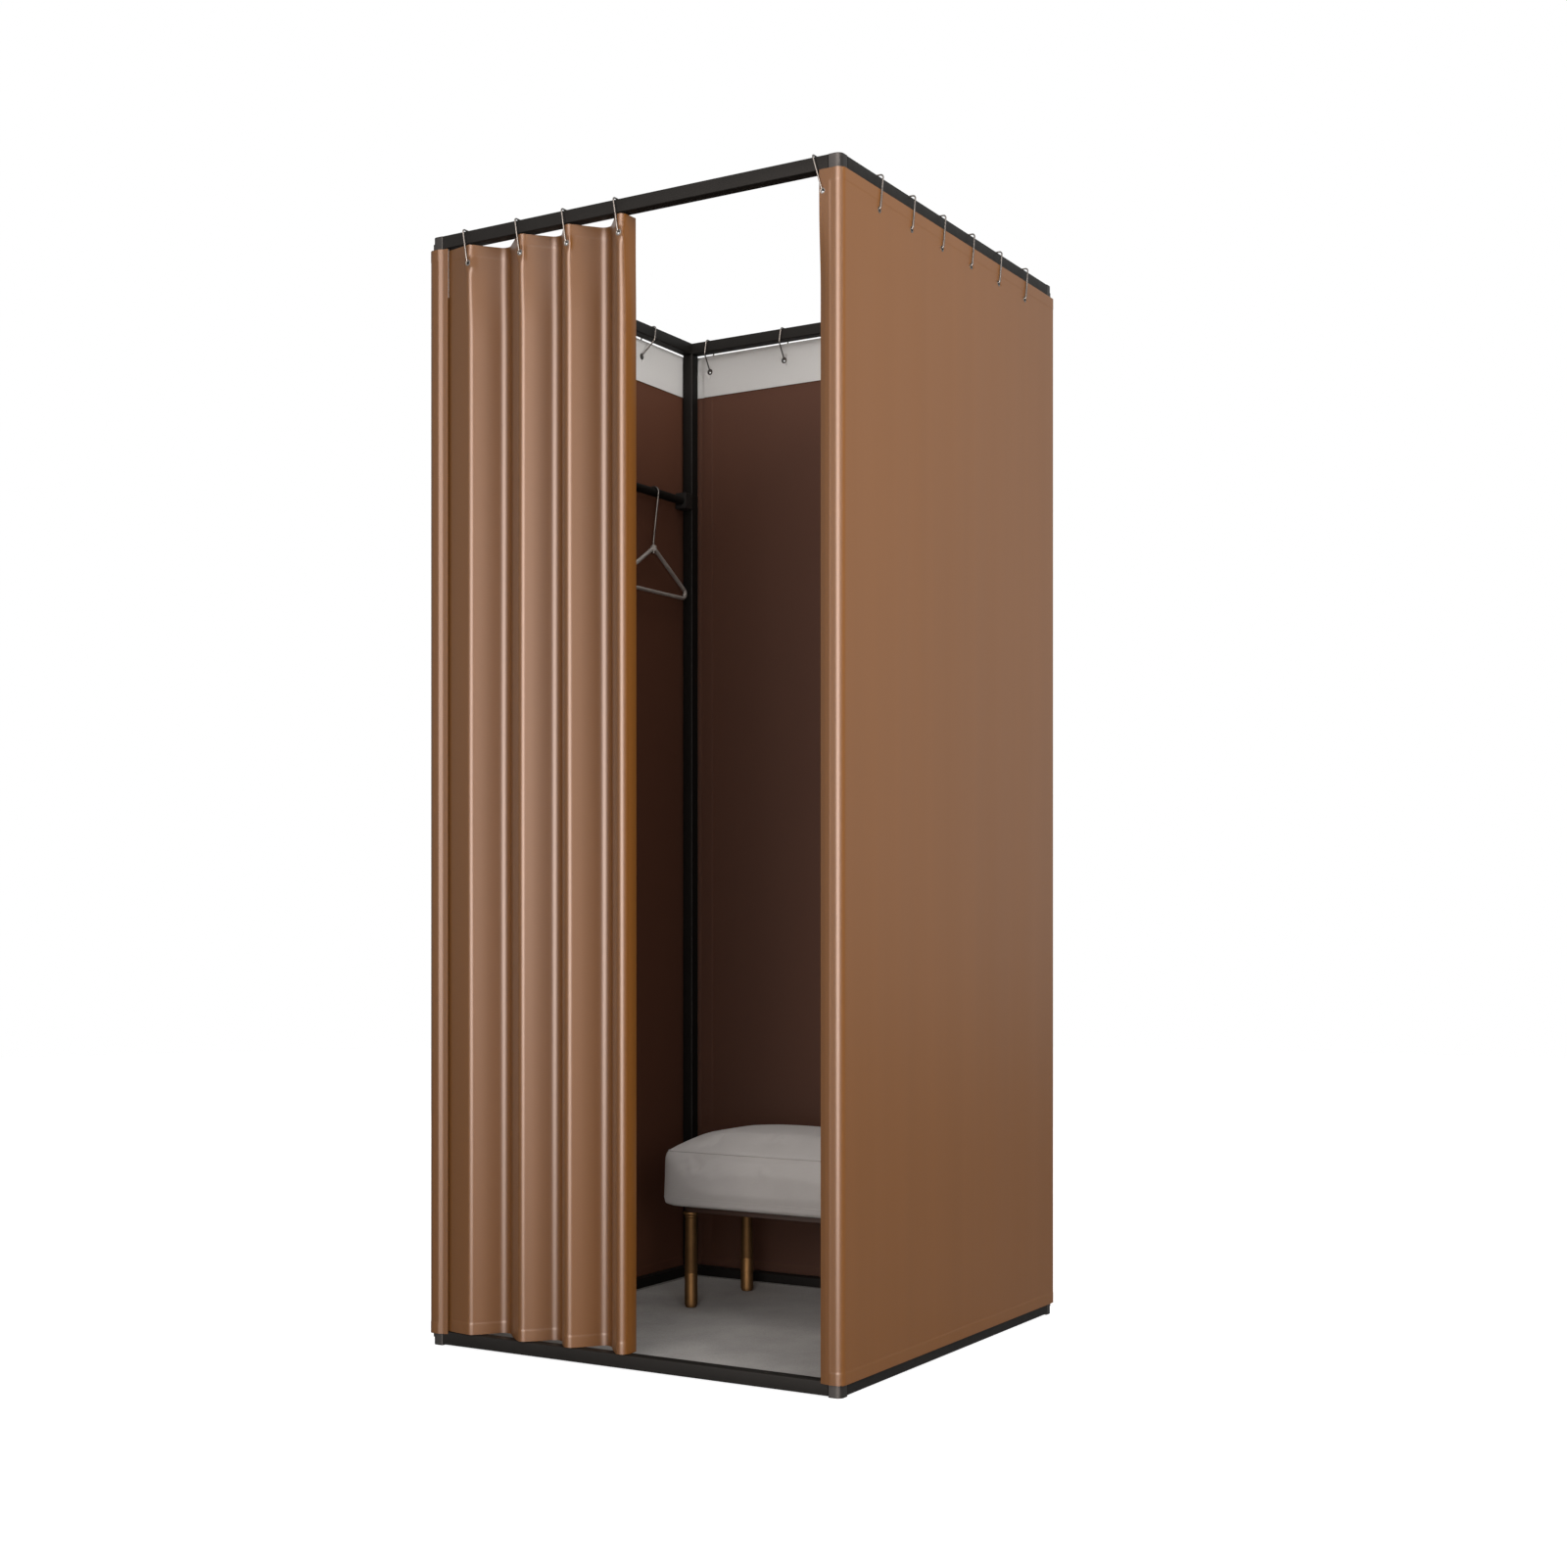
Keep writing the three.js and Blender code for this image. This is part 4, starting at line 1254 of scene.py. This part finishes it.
# Floor mat: a slab with an uneven pile, and a binding round its edge
def add_mat():
    low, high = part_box("floor_mat")
    inner_low, inner_high = low.x + MAT_BORDER, high.x - MAT_BORDER
    steps = spaced(inner_low, inner_high, MAT_CELL)
    count = len(steps)
    top = high.z - PILE_ROUGH
    points, faces = [], []
    for y in steps:
        for x in steps:
            tuft = noise.noise(Vector((x * TUFT_WAVES, y * TUFT_WAVES, PILE_SEEDS[0])))
            swirl = noise.noise(Vector((x * SWIRL_WAVES, y * SWIRL_WAVES, PILE_SEEDS[1])))
            rough = TUFT_SHARE * tuft + SWIRL_SHARE * swirl
            points.append((x, y, top + PILE_ROUGH * rough))
    for j in range(count - 1):
        for i in range(count - 1):
            a = j * count + i
            faces.append([a, a + 1, a + count + 1, a + count])
    rim = list(range(count))
    rim += [j * count + count - 1 for j in range(1, count)]
    rim += [count * count - 1 - i for i in range(1, count)]
    rim += [(count - 1 - j) * count for j in range(1, count - 1)]
    start = len(points)
    points += [(points[i][0], points[i][1], low.z) for i in rim]
    for k in range(len(rim)):
        n = (k + 1) % len(rim)
        faces.append([rim[k], start + k, start + n, rim[n]])
    faces.append([start + k for k in reversed(range(len(rim)))])
    pile = Form()
    pile.add(points, faces)
    mesh = pile.mesh("mat", [PILE], PILE_SHARP)
    mat = add_object("floor_mat_pile", mesh, "root", ["floor_mat"])

    half = MAT_BORDER / 2
    tall = high.z - low.z
    section = [(side * half - inset, z) for side, inset, z in BINDING_FOOT_STEPS]
    section += [(side * half - inset, tall - drop) for side, inset, drop in BINDING_TOP_STEPS]
    reach = high.x - half - BINDING_CORNER
    stops = [(s * reach, t * reach, BINDING_CORNER) for s, t in CORNERS]
    loop = thread_path(stops, closed=True, arc_steps=4, run_steps=20)
    binding = Form()
    ring = []
    total = len(loop)
    for k in range(total):
        along = loop[(k + 1) % total] - loop[k - 1]
        along /= np.linalg.norm(along)
        out = np.array([along[1], -along[0]])
        ring += [(*(loop[k] + out * u), low.z + z) for u, z in section]
    binding.add(ring, tube_faces(total, len(section), True))
    bound = add_object("floor_mat_binding", binding.mesh("binding", [BINDING]), "root")


# Floor, backdrop and light
def add_stage():
    f = Finish("studio_floor", Roughness=0.9, Specular_IOR_Level=0.1)
    f.put(f.shader.inputs["Base Color"], colour(170, 170, 170))
    grain = f.noise(f.place(), 30, 2)
    f.relief(grain, FLOOR_GRAIN, 0.1)
    seen = f.times(f.add("LightPath", out="Is Camera Ray"), FLOOR_GLOW)
    glow = f.add("Emission", {"Color": (1, 1, 1, 1), "Strength": seen})
    both = f.add("AddShader", {0: f.shader.outputs[0], 1: glow})
    f.links.new(both, f.nodes["Material Output"].inputs["Surface"])
    mesh = bpy.data.meshes.new("floor")
    r = FLOOR_RADIUS
    turns = [math.tau * k / FLOOR_SIDES for k in range(FLOOR_SIDES)]
    edge = [(r * math.cos(a), r * math.sin(a), -FLOOR_DROP) for a in turns]
    mesh.from_pydata(edge, [], [list(range(FLOOR_SIDES))])
    mesh.materials.append(f.material)
    linked("studio_floor", mesh)


# A lamp for shading alone, or a panel for highlights alone, out of sight of the camera
def add_lamp(name, place, target, size, power, tint, glossy):
    data = bpy.data.lights.new(name, "AREA")
    data.shape, data.size, data.size_y = "RECTANGLE", size[0], size[1]
    data.energy, data.color = power, tint
    lamp = linked(name, data)
    lamp.location = place
    aim = Vector(target) - Vector(place)
    lamp.rotation_euler = aim.to_track_quat("-Z", "Y").to_euler()
    lamp.visible_camera = False
    lamp.visible_glossy = glossy
    lamp.visible_diffuse = not glossy


def add_world():
    world = bpy.data.worlds.new("studio")
    bpy.context.scene.world = world
    g = Graph(world)
    g.nodes.clear()
    path = g.add("LightPath").node.outputs
    direct = g.sum(path["Is Camera Ray"], path["Is Transmission Ray"], "MAXIMUM")
    seen = g.sum(direct, path["Is Glossy Ray"], "MAXIMUM")
    level = g.spread(seen, WORLD_FILL, 1)
    back = g.add("Background", {"Color": (1, 1, 1, 1), "Strength": level})
    end = g.nodes.new("ShaderNodeOutputWorld")
    g.put(end.inputs["Surface"], back)


FLOOR_RADIUS = 9
FLOOR_SIDES = 96
FLOOR_DROP = 0.0006
FLOOR_GLOW = 0.82
WORLD_FILL = 0.45
WHITE = (1, 1, 1)
WARM = (1, 0.87, 0.8)
LAMPS = {
    "key": ((2.7, -1.1, 2.6), (0, 0, 1.1), (1.2, 1.2), 68, WHITE, False),
    "side": ((3.3, -3.0, 1.2), (0, 0, 0.8), (1.5, 1.5), 51, WHITE, False),
    "front": ((1.4, -4.2, 1.5), (0, 0, 0.9), (2.0, 2.0), 50, WHITE, False),
    "top": ((0, 0, 4.2), (0, 0, 0), (2.0, 2.0), 34, WHITE, False),
    "back": ((-3.2, 3.4, 1.6), (0, 0, 1.0), (2.0, 2.0), 46, WHITE, False),
    "front_panel": ((1.6, -5.4, 2.2), (0, 0, 1.3), (4.0, 4.6), 1480, WARM, True),
    "low_panel": ((1.6, -5.4, 0.3), (0, 0, 0.3), (4.0, 0.5), 270, WARM, True),
    "side_panel": ((4.6, -2.45, 1.8), (0, 0, 1.2), (3.0, 4.4), 50, WARM, True),
}


def add_camera():
    data = bpy.data.cameras.new("camera")
    long_side = max(IMAGE_SIZE)
    data.sensor_width = SENSOR
    data.lens = SENSOR * FOCAL_PIXELS / long_side
    data.shift_y = (HORIZON_ROW - IMAGE_SIZE[1] / 2) / long_side
    camera = linked("camera", data)
    camera.location = CAMERA_PLACE
    camera.rotation_euler = (math.pi / 2, 0, CAMERA_TURN)
    bpy.context.scene.camera = camera


add_camera()
add_world()
add_stage()
for name, lamp in LAMPS.items():
    add_lamp(name, *lamp)
bpy.context.scene.view_settings.view_transform = "Standard"

dress_nodes()
add_walls()
add_door_curtain()
add_fixed_rings()
add_door_rings()
add_hanger()
add_legs()
add_cushion()
add_mat()
